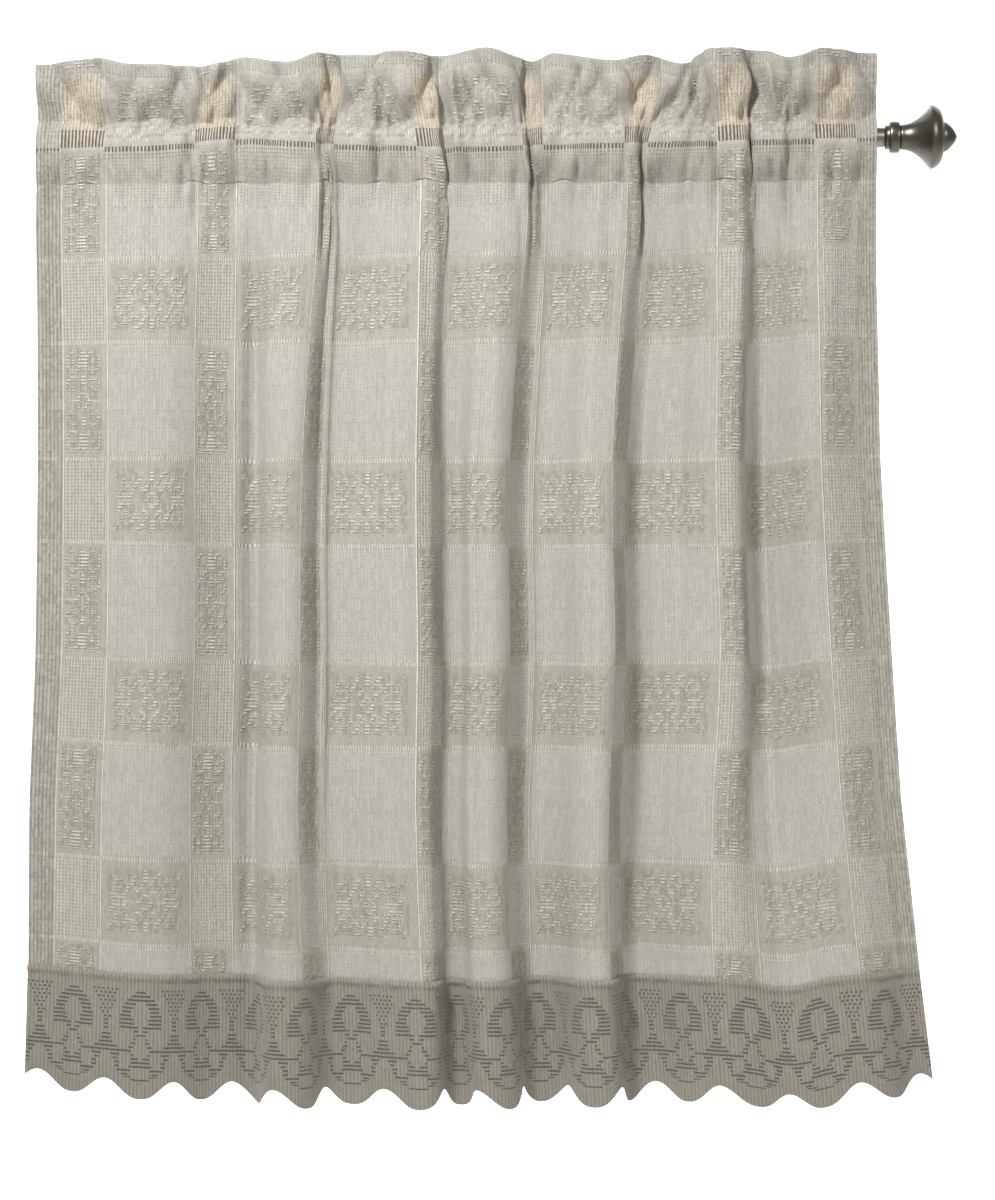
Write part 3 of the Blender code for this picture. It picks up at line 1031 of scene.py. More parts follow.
@dataclass
class LaceMaterial:
    """Turns a lace finish into nodes that read the cloth's own map and stitch attributes.

    A cell of the map is about 1.6 mm wide and 2.0 mm high on the panel. Its holes and slits are drawn once for
    each cell, or a little coarser, because the real ones are too fine to show in the picture. An edge is the
    place where a form starts and how sharply it rises. A fade is the slope and the start of a straight line.
    """

    finish: LaceFinish
    figured_sharpness: float = 8.0
    figure_edge: tuple[float, float] = (0.40, 3.2)
    hole_shape: tuple[float, float] = (1.5, 0.95)
    hole_sharpness: float = 2.5
    post_edge: tuple[float, float] = (0.55, 2.2)
    slit_sharpness: float = 5.0
    upright_squeeze: float = 1.9
    wave: tuple[float, float] = (0.9, 0.22)
    tie_edge: tuple[float, float] = (0.74, 3.4)
    slot_edge: tuple[float, float] = (0.9, 10.0)
    slot_shade: float = 0.95
    loop_fade: tuple[float, float] = (-1.3, 1.25)
    loop_tone: tuple[float, float] = (0.3, 0.90)
    gap_tone: tuple[float, float] = (-1.2, 0.35)
    cord_fade: tuple[float, float] = (-1.9, 1.55)
    fuzz_each: tuple[float, float] = (1.7, 1.1)
    yarn_uneven: float = 0.42
    fuzz_uneven: float = 0.6
    uneven_show: float = 0.22
    figure_height: float = 0.9
    post_height: float = 0.6
    hole_depth: float = 0.9
    uneven_height: float = 0.6

    def build(self) -> bpy.types.Material:
        """Makes the material.

        Returns:
            Lace with slightly clear holes, painted shade in its holes and slits, and threads that stand up.
        """
        finish = self.finish
        material = bpy.data.materials.new(finish.name)
        material.use_nodes = True
        tree = material.node_tree
        tree.nodes.clear()
        output = add_node(tree, "OutputMaterial")
        coords = add_node(tree, "UVMap", {"uv_map": "cloth"})
        parts = add_node(tree, "SeparateXYZ", inputs={0: coords.outputs["UV"]})
        across = Signal(tree, parts.outputs["X"]) * CELLS_TO_MAP
        down = Signal(tree, parts.outputs["Y"]) * CELLS_TO_MAP
        stitch = add_node(tree, "Attribute", {"attribute_name": "stitch"})
        kinds = add_node(tree, "SeparateColor", inputs={0: stitch.outputs["Color"]})
        hole, slit, sheer = (Signal(tree, kinds.outputs[name]) for name in ("Red", "Green", "Blue"))
        loop = Signal(tree, stitch.outputs["Alpha"])
        cream, tone, figure = (
            Signal(tree, add_node(tree, "Attribute", {"attribute_name": name}).outputs["Fac"])
            for name in ("cream", "tone", "figure")
        )

        cell_x, cell_y = across.off_middle(), down.off_middle()
        gap_x = (across * finish.gaps_each).off_middle()
        # The mesh: rounded holes with pale posts between them
        wide, high = self.hole_shape
        from_middle = (gap_x * gap_x * wide + cell_y * cell_y * high).then("SQRT")
        open_hole = ((hole - from_middle) * self.hole_sharpness).unit()
        post = gap_x.past(*self.post_edge) * (hole * finish.post_light)
        # The slits: upright ones between wales, or wavy ones between courses that are tied at intervals
        if finish.slits is SlitRun.ALONG:
            often, far = self.wave
            beside_slit = (down + (across * often).then("SINE") * far).off_middle()
            ties = gap_x.past(*self.tie_edge).without()
            open_slit = ((slit - beside_slit) * self.slit_sharpness).unit() * ties
        else:
            open_slit = ((slit - gap_x * self.upright_squeeze) * self.slit_sharpness).unit()
        slot = slit.past(*self.slot_edge)
        # A figure is a row of separate loops on a ground of small gaps, darkened beside the loops with painted
        # shade
        figured = (slit * self.figured_sharpness).unit()
        stroke = figure.past(*self.figure_edge)
        loops = stroke * cell_y.ramp(*self.loop_fade) * tone.ramp(*self.loop_tone)
        beside = figured * stroke.without() * tone.ramp(*self.gap_tone)
        # A proud cord is a row of short upright loops, one in the middle of each cell
        raised = loop * cell_x.ramp(*self.cord_fade)

        # Fuzz of the spun yarn, about 1 mm across and 2 mm long
        fuzz_x, fuzz_y = self.fuzz_each
        place = add_node(tree, "CombineXYZ", inputs={0: across * fuzz_x, 1: down * fuzz_y})
        fuzz = add_node(
            tree,
            "TexNoise",
            {"noise_dimensions": "2D"},
            {"Vector": place.outputs[0], "Scale": 1.0, "Detail": 1.0},
        )
        uneven = tone * self.yarn_uneven + (Signal(tree, fuzz.outputs[0]) - 0.5) * self.fuzz_uneven

        # Holes, slits, the grooves between wales and the ground beside figures are painted dark: painted shade
        # for the shade in them and the dark seen through them
        slit_painted_shade = slot * (self.slot_shade - finish.slit_shade) + finish.slit_shade
        rib = (gap_x * gap_x) * finish.rib_shade * hole.unit().without()
        dark = open_slit * slit_painted_shade + open_hole * finish.hole_shade + rib + beside * finish.figure_shade
        light = raised + post + loops * finish.figure_light + uneven * self.uneven_show
        # Each colour is laid over the one before: thread and net, cream yarn, pale loops, painted shade in the
        # gaps
        colour = linear(finish.thread)
        for share, over in (
            (sheer, finish.net),
            (cream, finish.cream),
            (light.unit(), finish.cord),
            ((dark - uneven * self.uneven_show).unit(), finish.shadow),
        ):
            mix = add_node(tree, "Mix", {"data_type": "RGBA"}, {0: share, 6: colour, 7: linear(over)})
            colour = mix.outputs[2]
        see = open_hole * finish.hole_show + open_slit * finish.slit_show + sheer * finish.sheer_show
        height = raised + loops * self.figure_height + post * self.post_height
        height = height - dark * self.hole_depth + uneven * self.uneven_height
        bump = add_node(
            tree,
            "Bump",
            inputs={"Strength": 0.9, "Distance": finish.relief_mm * MM, "Height": height},
        )
        cloth = add_node(
            tree,
            "BsdfPrincipled",
            inputs={
                "Base Color": colour,
                "Roughness": 0.88,
                "Specular IOR Level": 0.25,
                "Sheen Weight": 0.15,
                "Sheen Roughness": 0.5,
                "Alpha": see.unit().without(),
                "Normal": bump.outputs[0],
            },
        )
        tree.links.new(cloth.outputs[0], output.inputs[0])
        return material


@dataclass
class MetalMaterial:
    """Turns a metal finish into nodes brushed round the rod's axis."""

    finish: MetalFinish
    brush_stretch: float = 0.03
    patches_each_metre: float = 60.0
    tone_share: float = 0.35
    least_tone: float = 0.15
    rough_change: float = 0.12

    def build(self) -> bpy.types.Material:
        """Makes the material.

        Returns:
            Plated metal with fine brushing round X and slow changes of tone, about 17 mm across.
        """
        finish = self.finish
        material = bpy.data.materials.new(finish.name)
        material.use_nodes = True
        tree = material.node_tree
        tree.nodes.clear()
        output = add_node(tree, "OutputMaterial")
        coords = add_node(tree, "TexCoord")
        fine = 1.0 / (finish.brush_mm * MM)
        stretch = (fine, fine * self.brush_stretch, fine * self.brush_stretch)
        mapping = add_node(tree, "Mapping", inputs={0: coords.outputs["Object"], "Scale": stretch})
        brushed = add_node(
            tree, "TexNoise", inputs={"Vector": mapping.outputs[0], "Scale": 1.0, "Detail": 3.0}
        )
        patches = add_node(
            tree,
            "TexNoise",
            inputs={"Vector": coords.outputs["Object"], "Scale": self.patches_each_metre, "Detail": 1.0},
        )
        streaks = Signal(tree, brushed.outputs[0])
        tone = streaks * self.tone_share + Signal(tree, patches.outputs[0]) * self.tone_share + self.least_tone
        colour = add_node(
            tree, "Mix", {"data_type": "RGBA"}, {0: tone, 6: linear(finish.light), 7: linear(finish.dark)}
        )
        rough = streaks * self.rough_change + (finish.roughness - 0.5 * self.rough_change)
        bump = add_node(
            tree, "Bump", inputs={"Strength": 0.12, "Distance": 0.01 * MM, "Height": brushed.outputs[0]}
        )
        metal = add_node(
            tree,
            "BsdfPrincipled",
            inputs={
                "Base Color": colour.outputs[2],
                "Metallic": 1.0,
                "Roughness": rough,
                "Normal": bump.outputs[0],
            },
        )
        tree.links.new(metal.outputs[0], output.inputs[0])
        return material


@dataclass
class Panel:
    """The check lace: its hanging part, its turned side hems, and the heading with the rod pocket."""

    hang: GatheredHang
    check: LaceCheck = field(default_factory=LaceCheck)
    stitch_z: float = 0.0105
    stitch_courses: float = 20.5
    foot_z: float = -0.0260
    foot_courses: int = 40
    foot_lift: float = 0.0030
    allowance: int = 7
    edge_tilt: float = 0.0085
    rod_clear: float = 0.0068
    pocket_gap: float = 0.0102
    pocket_round: float = 0.85
    pocket_low: float = 1.5
    seam_wave: float = 0.0016
    forward: float = 0.0055
    forward_above: float = 0.020
    forward_below: float = 0.055
    pucker_depth: float = 0.0030
    layer_gap: float = 0.0009
    body_gap: float = 0.0004
    crown_radius: float = 0.0016
    bow: float = 0.0080
    bow_from: float = -0.0670
    skew: float = 0.0070
    skew_share: float = 0.30
    skew_foot: float = -0.2306
    sag_flat: float = 0.578
    sag_width: float = 0.022
    sag: float = 0.0070
    hem_gap: float = 0.0010
    pocket_below: float = 0.0217
    first_row_share: float = 0.94
    seam_long: float = 0.0087
    seam_short: float = 0.0039
    layers_meet: float = 0.012
    rod_release: float = 1.6
    slot_rows: int = 12
    ladder_rows: int = 3
    small_rows: int = 4
    lumps_above: int = 14

    def heading_top(self, flat: np.ndarray) -> np.ndarray:
        """Height of the heading's upper edge.

        Args:
            flat: Flat distances from the left side.

        Returns:
            One height for each.
        """
        x = self.hang.place(flat, np.full(flat.shape, LEVELS[0].z), np.zeros(flat.shape))[:, 0]
        edge_x, edge_z = np.array(HEADING_EDGE).T
        index = np.clip(np.searchsorted(edge_x, x) - 1, 0, len(edge_x) - 2)
        left, right = edge_x[index], edge_x[index + 1]
        low, high = edge_z[index], edge_z[index + 1]
        return low + (high - low) * ease((x - left) / (right - left)) - self.edge_tilt * x

    @staticmethod
    def ladder(flat: np.ndarray) -> np.ndarray:
        """Height of the ladder row, which the rod's gathers lift unevenly."""
        return np.interp(flat, *zip(*LADDER_LINE))

    def droop(self, flat: np.ndarray, z: float) -> np.ndarray:
        """Height of a crosswise line of cloth, which sags in its middle and lifts to one side.

        Args:
            flat: Flat distances from the left side.
            z: Height at which it would hang at the sides.

        Returns:
            One height for each distance.
        """
        share = np.clip((self.bow_from - z) / (self.bow_from - self.check.rows[-1].foot_z), 0.0, 1.2)
        side = np.abs(2.0 * flat / self.hang.width - 1.0) ** 3
        deep = self.sag * hump(flat - self.sag_flat, self.sag_width)
        lift = self.skew * (flat / self.hang.width - self.skew_share)
        fade = ease((z - self.skew_foot) / -self.skew_foot)
        return z - (self.bow * (1.0 - side) + deep) * share + lift * fade

    def heights(self, flat: np.ndarray, courses: np.ndarray) -> np.ndarray:
        """Heights of lines of cloth.

        Args:
            flat: Flat distances from the left side.
            courses: Courses below the heading's top, for each line.

        Returns:
            One row of heights for each line.
        """
        top = self.heading_top(flat)
        pull = pucker(flat)
        knots = [0.0, float(self.check.rows[0].courses), self.stitch_courses]
        below_top = top - self.check.rows[0].length * self.first_row_share
        levels = [top, below_top, np.full(flat.shape, self.stitch_z)]
        course = self.check.rows[0].courses
        for number, row in enumerate(self.check.rows[1:]):
            course += row.courses
            knots.append(float(course))
            levels.append(self.ladder(flat) if number == 0 else self.droop(flat, row.foot_z))
        knots.insert(4, float(self.foot_courses))
        levels.insert(4, self.foot_z + self.foot_lift * pull)
        table = np.array(levels)
        lines = []
        for value in courses:
            i = int(np.clip(np.searchsorted(knots, value, side="right") - 1, 0, len(knots) - 2))
            share = (value - knots[i]) / (knots[i + 1] - knots[i])
            lines.append(table[i] + (table[i + 1] - table[i]) * share)
        return np.array(lines)

    def half_gap(self, flat: np.ndarray, z: np.ndarray) -> np.ndarray:
        """Half the distance between the front and the back layer above the pocket's foot.

        Args:
            flat: Flat distances from the left side, one row for each line.
            z: Heights.

        Returns:
            Half gaps that open round the rod and close at the seam and at the top.
        """
        wave = np.sin(flat / self.seam_long) + 0.7 * np.sin(flat / self.seam_short + 1.0)
        seam = self.stitch_z + self.seam_wave * wave
        share = np.clip((z - self.foot_z) / (seam - self.foot_z), 0.0, 1.0)
        belly = np.sin(np.pi * share**self.pocket_low) ** self.pocket_round
        slack = self.pocket_gap - self.pucker_depth * pucker(flat)
        from_top = np.clip(1.0 - (self.heading_top(flat[0]) - z) / self.crown_radius, 0.0, 1.0)
        return (self.layer_gap + slack * belly) * np.sqrt(1.0 - from_top**2)

    def creased(self, flat: np.ndarray, z: np.ndarray, offset: np.ndarray) -> np.ndarray:
        """Adds the creases, the gathers and the hang off the rod's front to the cloth's place.

        Args:
            flat: Flat distances from the left side.
            z: Heights.
            offset: Distances in front of the middle surface.

        Returns:
            The new distances.
        """
        fade = np.where(z > self.foot_z, self.forward_above, self.forward_below)
        forward = self.forward * hump(z - self.foot_z, fade)
        return offset + relief(flat, z) + crinkle(flat, z) + forward

    def hung(self, flat: np.ndarray, z: np.ndarray, offset: np.ndarray) -> np.ndarray:
        """Points of whole lines."""
        return self.hang.place(flat.ravel(), z.ravel(), offset.ravel()).reshape(*flat.shape, 3)

    def build_body(self, material: bpy.types.Material) -> bpy.types.Object:
        """Hangs the cloth below the pocket.

        Args:
            material: The lace.

        Returns:
            The hanging piece.
        """
        lines = self.check.wale_lines(self.hang.width)
        total = sum(row.courses for row in self.check.rows)
        courses = np.arange(total, self.foot_courses - 1, -1, dtype=float)
        flat = np.tile(lines, (len(courses), 1))
        z = self.heights(lines, courses)
        below = np.clip((self.foot_z - z) / self.layers_meet, 0.0, 1.0)
        offset = self.layer_gap + (self.body_gap - self.layer_gap) * ease(below)
        stitches = self.under_pocket(self.check.stitches(self.check.front_courses()))
        stitches = stitches[self.foot_courses :][::-1]
        points = self.hung(flat, z, self.creased(flat, z, offset))
        return hang_cloth("panel_body", points, stitches, (float(total), 1.0), material)

    def build_heading(self, material: bpy.types.Material) -> bpy.types.Object:
        """Hangs the pocket and the standing heading, from the pocket's foot over the top and down the back.

        Args:
            material: The lace.

        Returns:
            The doubled piece.
        """
        lines = self.check.wale_lines(self.hang.width)
        half = np.arange(self.foot_courses * 2, 0, -1) / 2.0
        courses = np.concatenate([half, [0.0], half[::-1]])
        side = np.concatenate([np.ones(len(half)), [0.0], -np.ones(len(half))])
        flat = np.tile(lines, (len(courses), 1))
        z = self.heights(lines, courses)
        gap = self.half_gap(flat, z)
        loose = self.creased(flat, z, gap * side[:, None])
        beyond = np.maximum(0.0, np.abs(z) - self.rod_clear)
        clear = np.sqrt(np.maximum(0.0, self.rod_clear**2 - z**2)) - self.rod_release * beyond
        held = np.where(side[:, None] > 0, np.maximum(loose, clear), np.minimum(loose, -clear))
        points = self.hung(flat, z, held)
        front = self.check.stitches(self.check.front_courses())[: self.foot_courses]
        front = self.over_rod(np.repeat(front, 2, axis=0))
        back = np.repeat(self.check.stitches(self.check.back_courses(self.foot_courses)), 2, axis=0)
        stitches = np.concatenate([front[::-1], back])
        # Two layers look denser than one, and the gathers press cords and figures flat
        stitches[..., SHEER] = np.maximum(stitches[..., SHEER] * 0.6, 0.3)
        stitches[..., CORD] *= 0.30
        stitches[..., FIGURE] *= 0.80
        cream = self.cream_share(len(half), lines)
        rows = (float(self.foot_courses), 0.5)
        return hang_cloth("panel_heading", points, stitches, rows, material, cream)

    def under_pocket(self, stitches: np.ndarray) -> np.ndarray:
        """Marks the turned-in allowance below the pocket: denser mesh down to a row of small stitches.

        Args:
            stitches: Stitch values from the heading's top, which are changed.

        Returns:
            The same values.
        """
        end = self.foot_courses + self.allowance
        for kind, span in self.check.columns():
            if kind is Column.WIDE:
                stitches[self.foot_courses : end, span.start + 1 : span.stop, HOLE] = 0.62
                stitches[self.foot_courses : end, span.start + 1 : span.stop, SHEER] = 0.6
                stitches[end, span.start + 1 : span.stop : 2, HOLE] = 1.3
        return stitches

    def over_rod(self, stitches: np.ndarray) -> np.ndarray:
        """Opens the stitches that the rod stretches, the filet's last courses and the ladder row, and paints
        them dark as the rod and the shade seen through them.

        Args:
            stitches: Stitch values of the front layer in half courses from the top, which are changed.

        Returns:
            The same values.
        """
        ladder = 2 * (self.check.rows[0].courses + self.check.rows[1].courses)
        slots = ladder - self.slot_rows
        steps = ladder + self.ladder_rows
        for kind, columns in self.check.columns():
            wales = np.arange(columns.start, columns.stop)
            if kind is Column.NARROW:
                # The filet's courses over the rod get slits and then slots, painted dark as the shade and the
                # rod seen through them
                stitches[:slots, columns, HOLE] *= 0.45
                stitches[:slots, columns, SLIT] = np.maximum(stitches[:slots, columns, SLIT], 0.6)
                stitches[slots:ladder, columns, SLIT] = 1.0
                stitches[slots:ladder, columns, HOLE] = 0.3
            elif kind is Column.WIDE:
                # The ladder's slots and the small rows of holes below them are painted dark as the rod and the
                # shade under the pocket
                stitches[ladder:steps, columns, SLIT] = 1.0
                stitches[ladder:steps, columns, CORD] = 0.6
                stitches[steps : steps + self.small_rows, columns, HOLE] = 0.60
                # Small scallops of puffed yarn stand in an uneven row above the ladder, painted pale: partly
                # pale yarn, partly a painted highlight on the puffs
                for row in range(ladder - self.lumps_above, ladder - 3):
                    lumps = np.sin(wales * 1.13 + row * 0.9) + np.sin(wales * 0.47 - row * 0.31) > 0.5
                    stitches[row, columns, CORD] = np.where(lumps, 1.6, 0.2)
                    stitches[row, columns, SLIT] = np.where(lumps, 0.0, 0.86 * ((row // 2) % 3 == 1))
                    stitches[row, columns, FIGURE] = 0.0
            else:
                stitches[ladder : ladder + 2, columns, SLIT] = 1.0
        return stitches

    def cream_share(self, rows: int, lines: np.ndarray) -> np.ndarray:
        """Cream of the doubled narrow columns in the heading, and of the puckers under the rod.

        Args:
            rows: Rows of faces in one layer.
            lines: Flat distances of the lines between wales.

        Returns:
            Share of cream yarn for each row from the foot over the top and down the back, and wale.
        """
        middles = 0.5 * (lines[1:] + lines[:-1])
        course = np.abs(np.arange(rows * 2) + 0.5 - rows) / 2.0
        top = self.check.rows[0].courses - 1.0
        foot = self.check.rows[0].courses + self.check.rows[1].courses
        # The cream fades in and out over a few courses, and its blotches are a few wales wide
        inside = ease((course - top) / 4.0) * ease((foot - course) / 3.0)
        columns = np.zeros(len(middles))
        count = self.check.narrow_wales
        for kind, span in self.check.columns():
            if kind is Column.NARROW:
                columns[span] = np.sin(np.pi * (np.arange(count) + 0.5) / count) ** 0.35
        blotch = 0.78 + 0.22 * np.sin(middles / 0.0047) * np.sin(course[:, None] * 0.23 + middles / 0.009)
        under = ease((course - foot) / 3.0) * ease((self.foot_courses + 1.0 - course) / 5.0)
        return inside[:, None] * columns * blotch + 0.30 * under[:, None] * pucker(middles) ** 2

    def build_side_hem(self, side: Side, material: bpy.types.Material) -> bpy.types.Object:
        """Hangs the turned-back layer of one side hem, with a row of points for every second course.

        Args:
            side: The edge of the cloth.
            material: The lace.

        Returns:
            The strip behind the body's edge.
        """
        lines = self.check.wale_lines(self.hang.width)
        wales = self.check.hem_wales
        strip = lines[: wales + 1] if side is Side.LEFT else lines[-wales - 1 :]
        total = sum(row.courses for row in self.check.rows)
        courses = np.arange(total, self.foot_courses - 1, -2, dtype=float)
        flat = np.tile(strip, (len(courses), 1))
        z = self.heights(strip, courses)
        behind = np.full(flat.shape, self.body_gap - self.hem_gap)
        behind[:, 0 if side is Side.LEFT else -1] = self.body_gap
        points = self.hung(flat, z, self.creased(flat, z, behind))
        stitches = self.check.blank(wales, len(courses) - 1)
        stitches[..., SHEER] = 0.25
        return hang_cloth(f"side_hem_{side.value}", points, stitches, (float(total), 2.0), material)


@dataclass(frozen=True)
class SlitBar:
    """A level slit in the edging's scallop, mirrored about its middle: its course and its ends in wales."""

    course: float
    start: float
    end: float


@dataclass
class Edging:
    """The scalloped border, sewn over the panel's lower edge."""

    panel: Panel
    wales_each: int = 30
    pitch: float = 0.0405
    start: float = 0.0080
    courses: int = 69
    course: float = 0.001125
    overlap: float = 0.0030
    tip_z: float = -0.5585
    tip_rise: float = 0.0110
    notch: float = 0.0105
    notch_power: float = 1.3
    band_courses: float = 4.0
    band_puff: float = 0.0016
    even_to: float = 0.058
    seam_lift: float = 0.0009
    ruffle_depth: float = 0.0007
    fan_top: float = 8.0
    fan_foot: float = 23.0
    fan_wide: float = 5.8
    fan_narrow: float = 1.6
    stem_foot: float = 30.5
    stem_half: float = 0.9
    core_course: float = 20.8
    core_wales: float = 3.7
    core_courses: float = 7.0
    bars: tuple[SlitBar, ...] = (
        SlitBar(29.5, 1.0, 3.4),
        SlitBar(31.5, 0.0, 2.4),
        SlitBar(33.5, 1.6, 2.8),
        SlitBar(35.5, 2.2, 4.0),
        SlitBar(37.5, 2.6, 5.0),
        SlitBar(39.5, 4.4, 15.0),
        SlitBar(41.5, 2.8, 4.4),
        SlitBar(41.5, 8.6, 13.2),
        SlitBar(43.5, 1.4, 3.8),
        SlitBar(43.5, 9.6, 12.4),
        SlitBar(45.5, 0.0, 4.4),
        SlitBar(45.5, 9.2, 11.4),
        SlitBar(47.5, 0.0, 5.4),
        SlitBar(47.5, 8.8, 10.6),
        SlitBar(49.5, 4.0, 9.8),
        SlitBar(51.5, 4.8, 8.4),
        SlitBar(53.5, 3.6, 7.2),
        SlitBar(55.5, 0.0, 3.8),
        SlitBar(31.5, 13.4, 15.0),
        SlitBar(33.5, 12.8, 15.0),
        SlitBar(35.5, 11.6, 15.0),
        SlitBar(37.5, 10.0, 15.0),
    )
    ring_courses: tuple[float, ...] = (7.5, 10.5, 13.7, 17.3, 21.5, 27.0, 28.4)
    ring_wales: tuple[float, ...] = (0.3, 3.4, 6.0, 7.7, 9.0, 9.3, 8.6)

    def chart(self, flat: np.ndarray) -> np.ndarray:
        """Stitches of the border.

        Args:
            flat: Flat distance of the middle of each wale.

        Returns:
            Hole, slit, sheerness, cord and figure for each course from the top and each wale.
        """
        place = ((flat - self.start) / self.pitch) % 1.0
        x = np.abs(place - 0.5) * self.wales_each
        from_edge = 0.5 * self.wales_each - x
        wale = np.floor(place * self.wales_each)
        stitches = LaceCheck.blank(len(flat), self.courses)
        for course in range(self.courses):
            y = course + 0.5
            open_here = np.zeros(len(flat), dtype=bool)
            if self.ring_courses[0] < y < self.ring_courses[-1]:
                reach = np.interp(y, self.ring_courses, self.ring_wales)
                core = (x / self.core_wales) ** 2 + ((y - self.core_course) / self.core_courses) ** 2 < 1.0
                open_here |= (x < reach) & ~core & (course % 2 == 1)
            for bar in self.bars:
                if abs(y - bar.course) < 0.6:
                    open_here |= (x >= bar.start) & (x < bar.end)
            half = np.interp(y, (self.fan_top, self.fan_foot), (self.fan_wide, self.fan_narrow))
            diamonds = (course % 4 == 0) & (wale % 2 == 0) | (course % 4 == 2) & (wale % 2 == 1)
            open_here |= (self.fan_top < y < self.fan_foot) & (from_edge < half) & diamonds
            stem = (self.fan_foot < y < self.stem_foot) and course % 2 == 0
            open_here |= stem & (from_edge < self.stem_half)
            stitches[course, :, SLIT] = np.where(open_here, 1.0, 0.0)
        stitches[: int(self.band_courses), :, CORD] = 0.5
        return stitches

    def build(self, material: bpy.types.Material) -> bpy.types.Object:
        """Hangs the border.

        Args:
            material: The lace.

        Returns:
            The border, puffed along its seam.
        """
        hang = self.panel.hang
        wales = round(hang.width / (self.pitch / self.wales_each))
        lines = np.linspace(0.0, hang.width, wales + 1)
        seam = self.panel.droop(lines, self.panel.check.rows[-1].foot_z) + self.overlap
        wave = 0.5 + 0.5 * np.cos(2.0 * np.pi * (lines - self.start) / self.pitch)
        from_middle = np.abs(2.0 * lines / hang.width - 1.0) ** 3
        sag = self.panel.sag * hump(lines - self.panel.sag_flat, self.panel.sag_width)
        foot = self.tip_z + self.tip_rise * from_middle - sag + self.notch * wave**self.notch_power
        down = np.arange(self.courses + 1)[::-1] * self.course
        last = self.courses * self.course
        z = []
        for distance in down:
            rest = max(0.0, distance - self.even_to) / (last - self.even_to)
            level = seam - min(distance, self.even_to)
            z.append(level + (foot - (seam - self.even_to)) * rest)
        z = np.array(z)
        flat = np.tile(lines, (len(down), 1))
        band = self.band_courses * self.course
        rise = np.sin(np.pi * np.clip(down / band, 0.0, 1.0))[:, None]
        gather = 0.75 + 0.25 * waver(flat, 0.0032, 1.7, 0.013)
        ruffle = self.ruffle_depth * waver(flat, 0.0061, 2.0, 0.021) * (down / last)[:, None]
        offset = self.panel.body_gap + self.seam_lift + self.band_puff * rise * gather + ruffle
        points = self.panel.hung(flat, z, self.panel.creased(flat, z, offset))
        stitches = self.chart(0.5 * (lines[1:] + lines[:-1]))[::-1]
        return hang_cloth("edging_border", points, stitches, (float(self.courses), 1.0), material)


@dataclass
class TurnedPiece:
    """A solid grown ring by ring along the rod's axis, as on a lathe."""

    name: str
    start: float
    stations: list[tuple[float, float]]
    sides: int = 96

    def build(self, material: bpy.types.Material) -> bpy.types.Object:
        """Grows the piece.

        Args:
            material: Its metal.

        Returns:
            The closed, smooth-shaded piece.
        """
        bpy.ops.object.select_all(action="DESELECT")
        along, radius = self.stations[0]
        bpy.ops.mesh.primitive_circle_add(
            vertices=self.sides,
            radius=radius,
            fill_type="NGON",
            location=(self.start + along, 0.0, 0.0),
            rotation=(0.0, math.radians(90), 0.0),
        )
        piece = bpy.context.active_object
        piece.name = self.name
        piece.data.name = self.name
        bpy.ops.object.transform_apply(location=True, rotation=True, scale=True)
        bpy.ops.object.mode_set(mode="EDIT")
        bpy.ops.mesh.select_mode(type="FACE")
        bpy.ops.mesh.select_all(action="SELECT")
        for (last_along, last_radius), (along, radius) in zip(self.stations, self.stations[1:]):
            bpy.ops.mesh.extrude_region_move(
                TRANSFORM_OT_translate={"value": (along - last_along, 0.0, 0.0)}
            )
            share = radius / last_radius
            bpy.ops.transform.resize(
                value=(1.0, share, share), center_override=(self.start + along, 0.0, 0.0)
            )
        bpy.ops.mesh.select_all(action="SELECT")
        bpy.ops.mesh.normals_make_consistent(inside=False)
        bpy.ops.object.mode_set(mode="OBJECT")
        bpy.ops.object.shade_smooth_by_angle(angle=math.radians(38))
        piece.data.materials.append(material)
        return piece


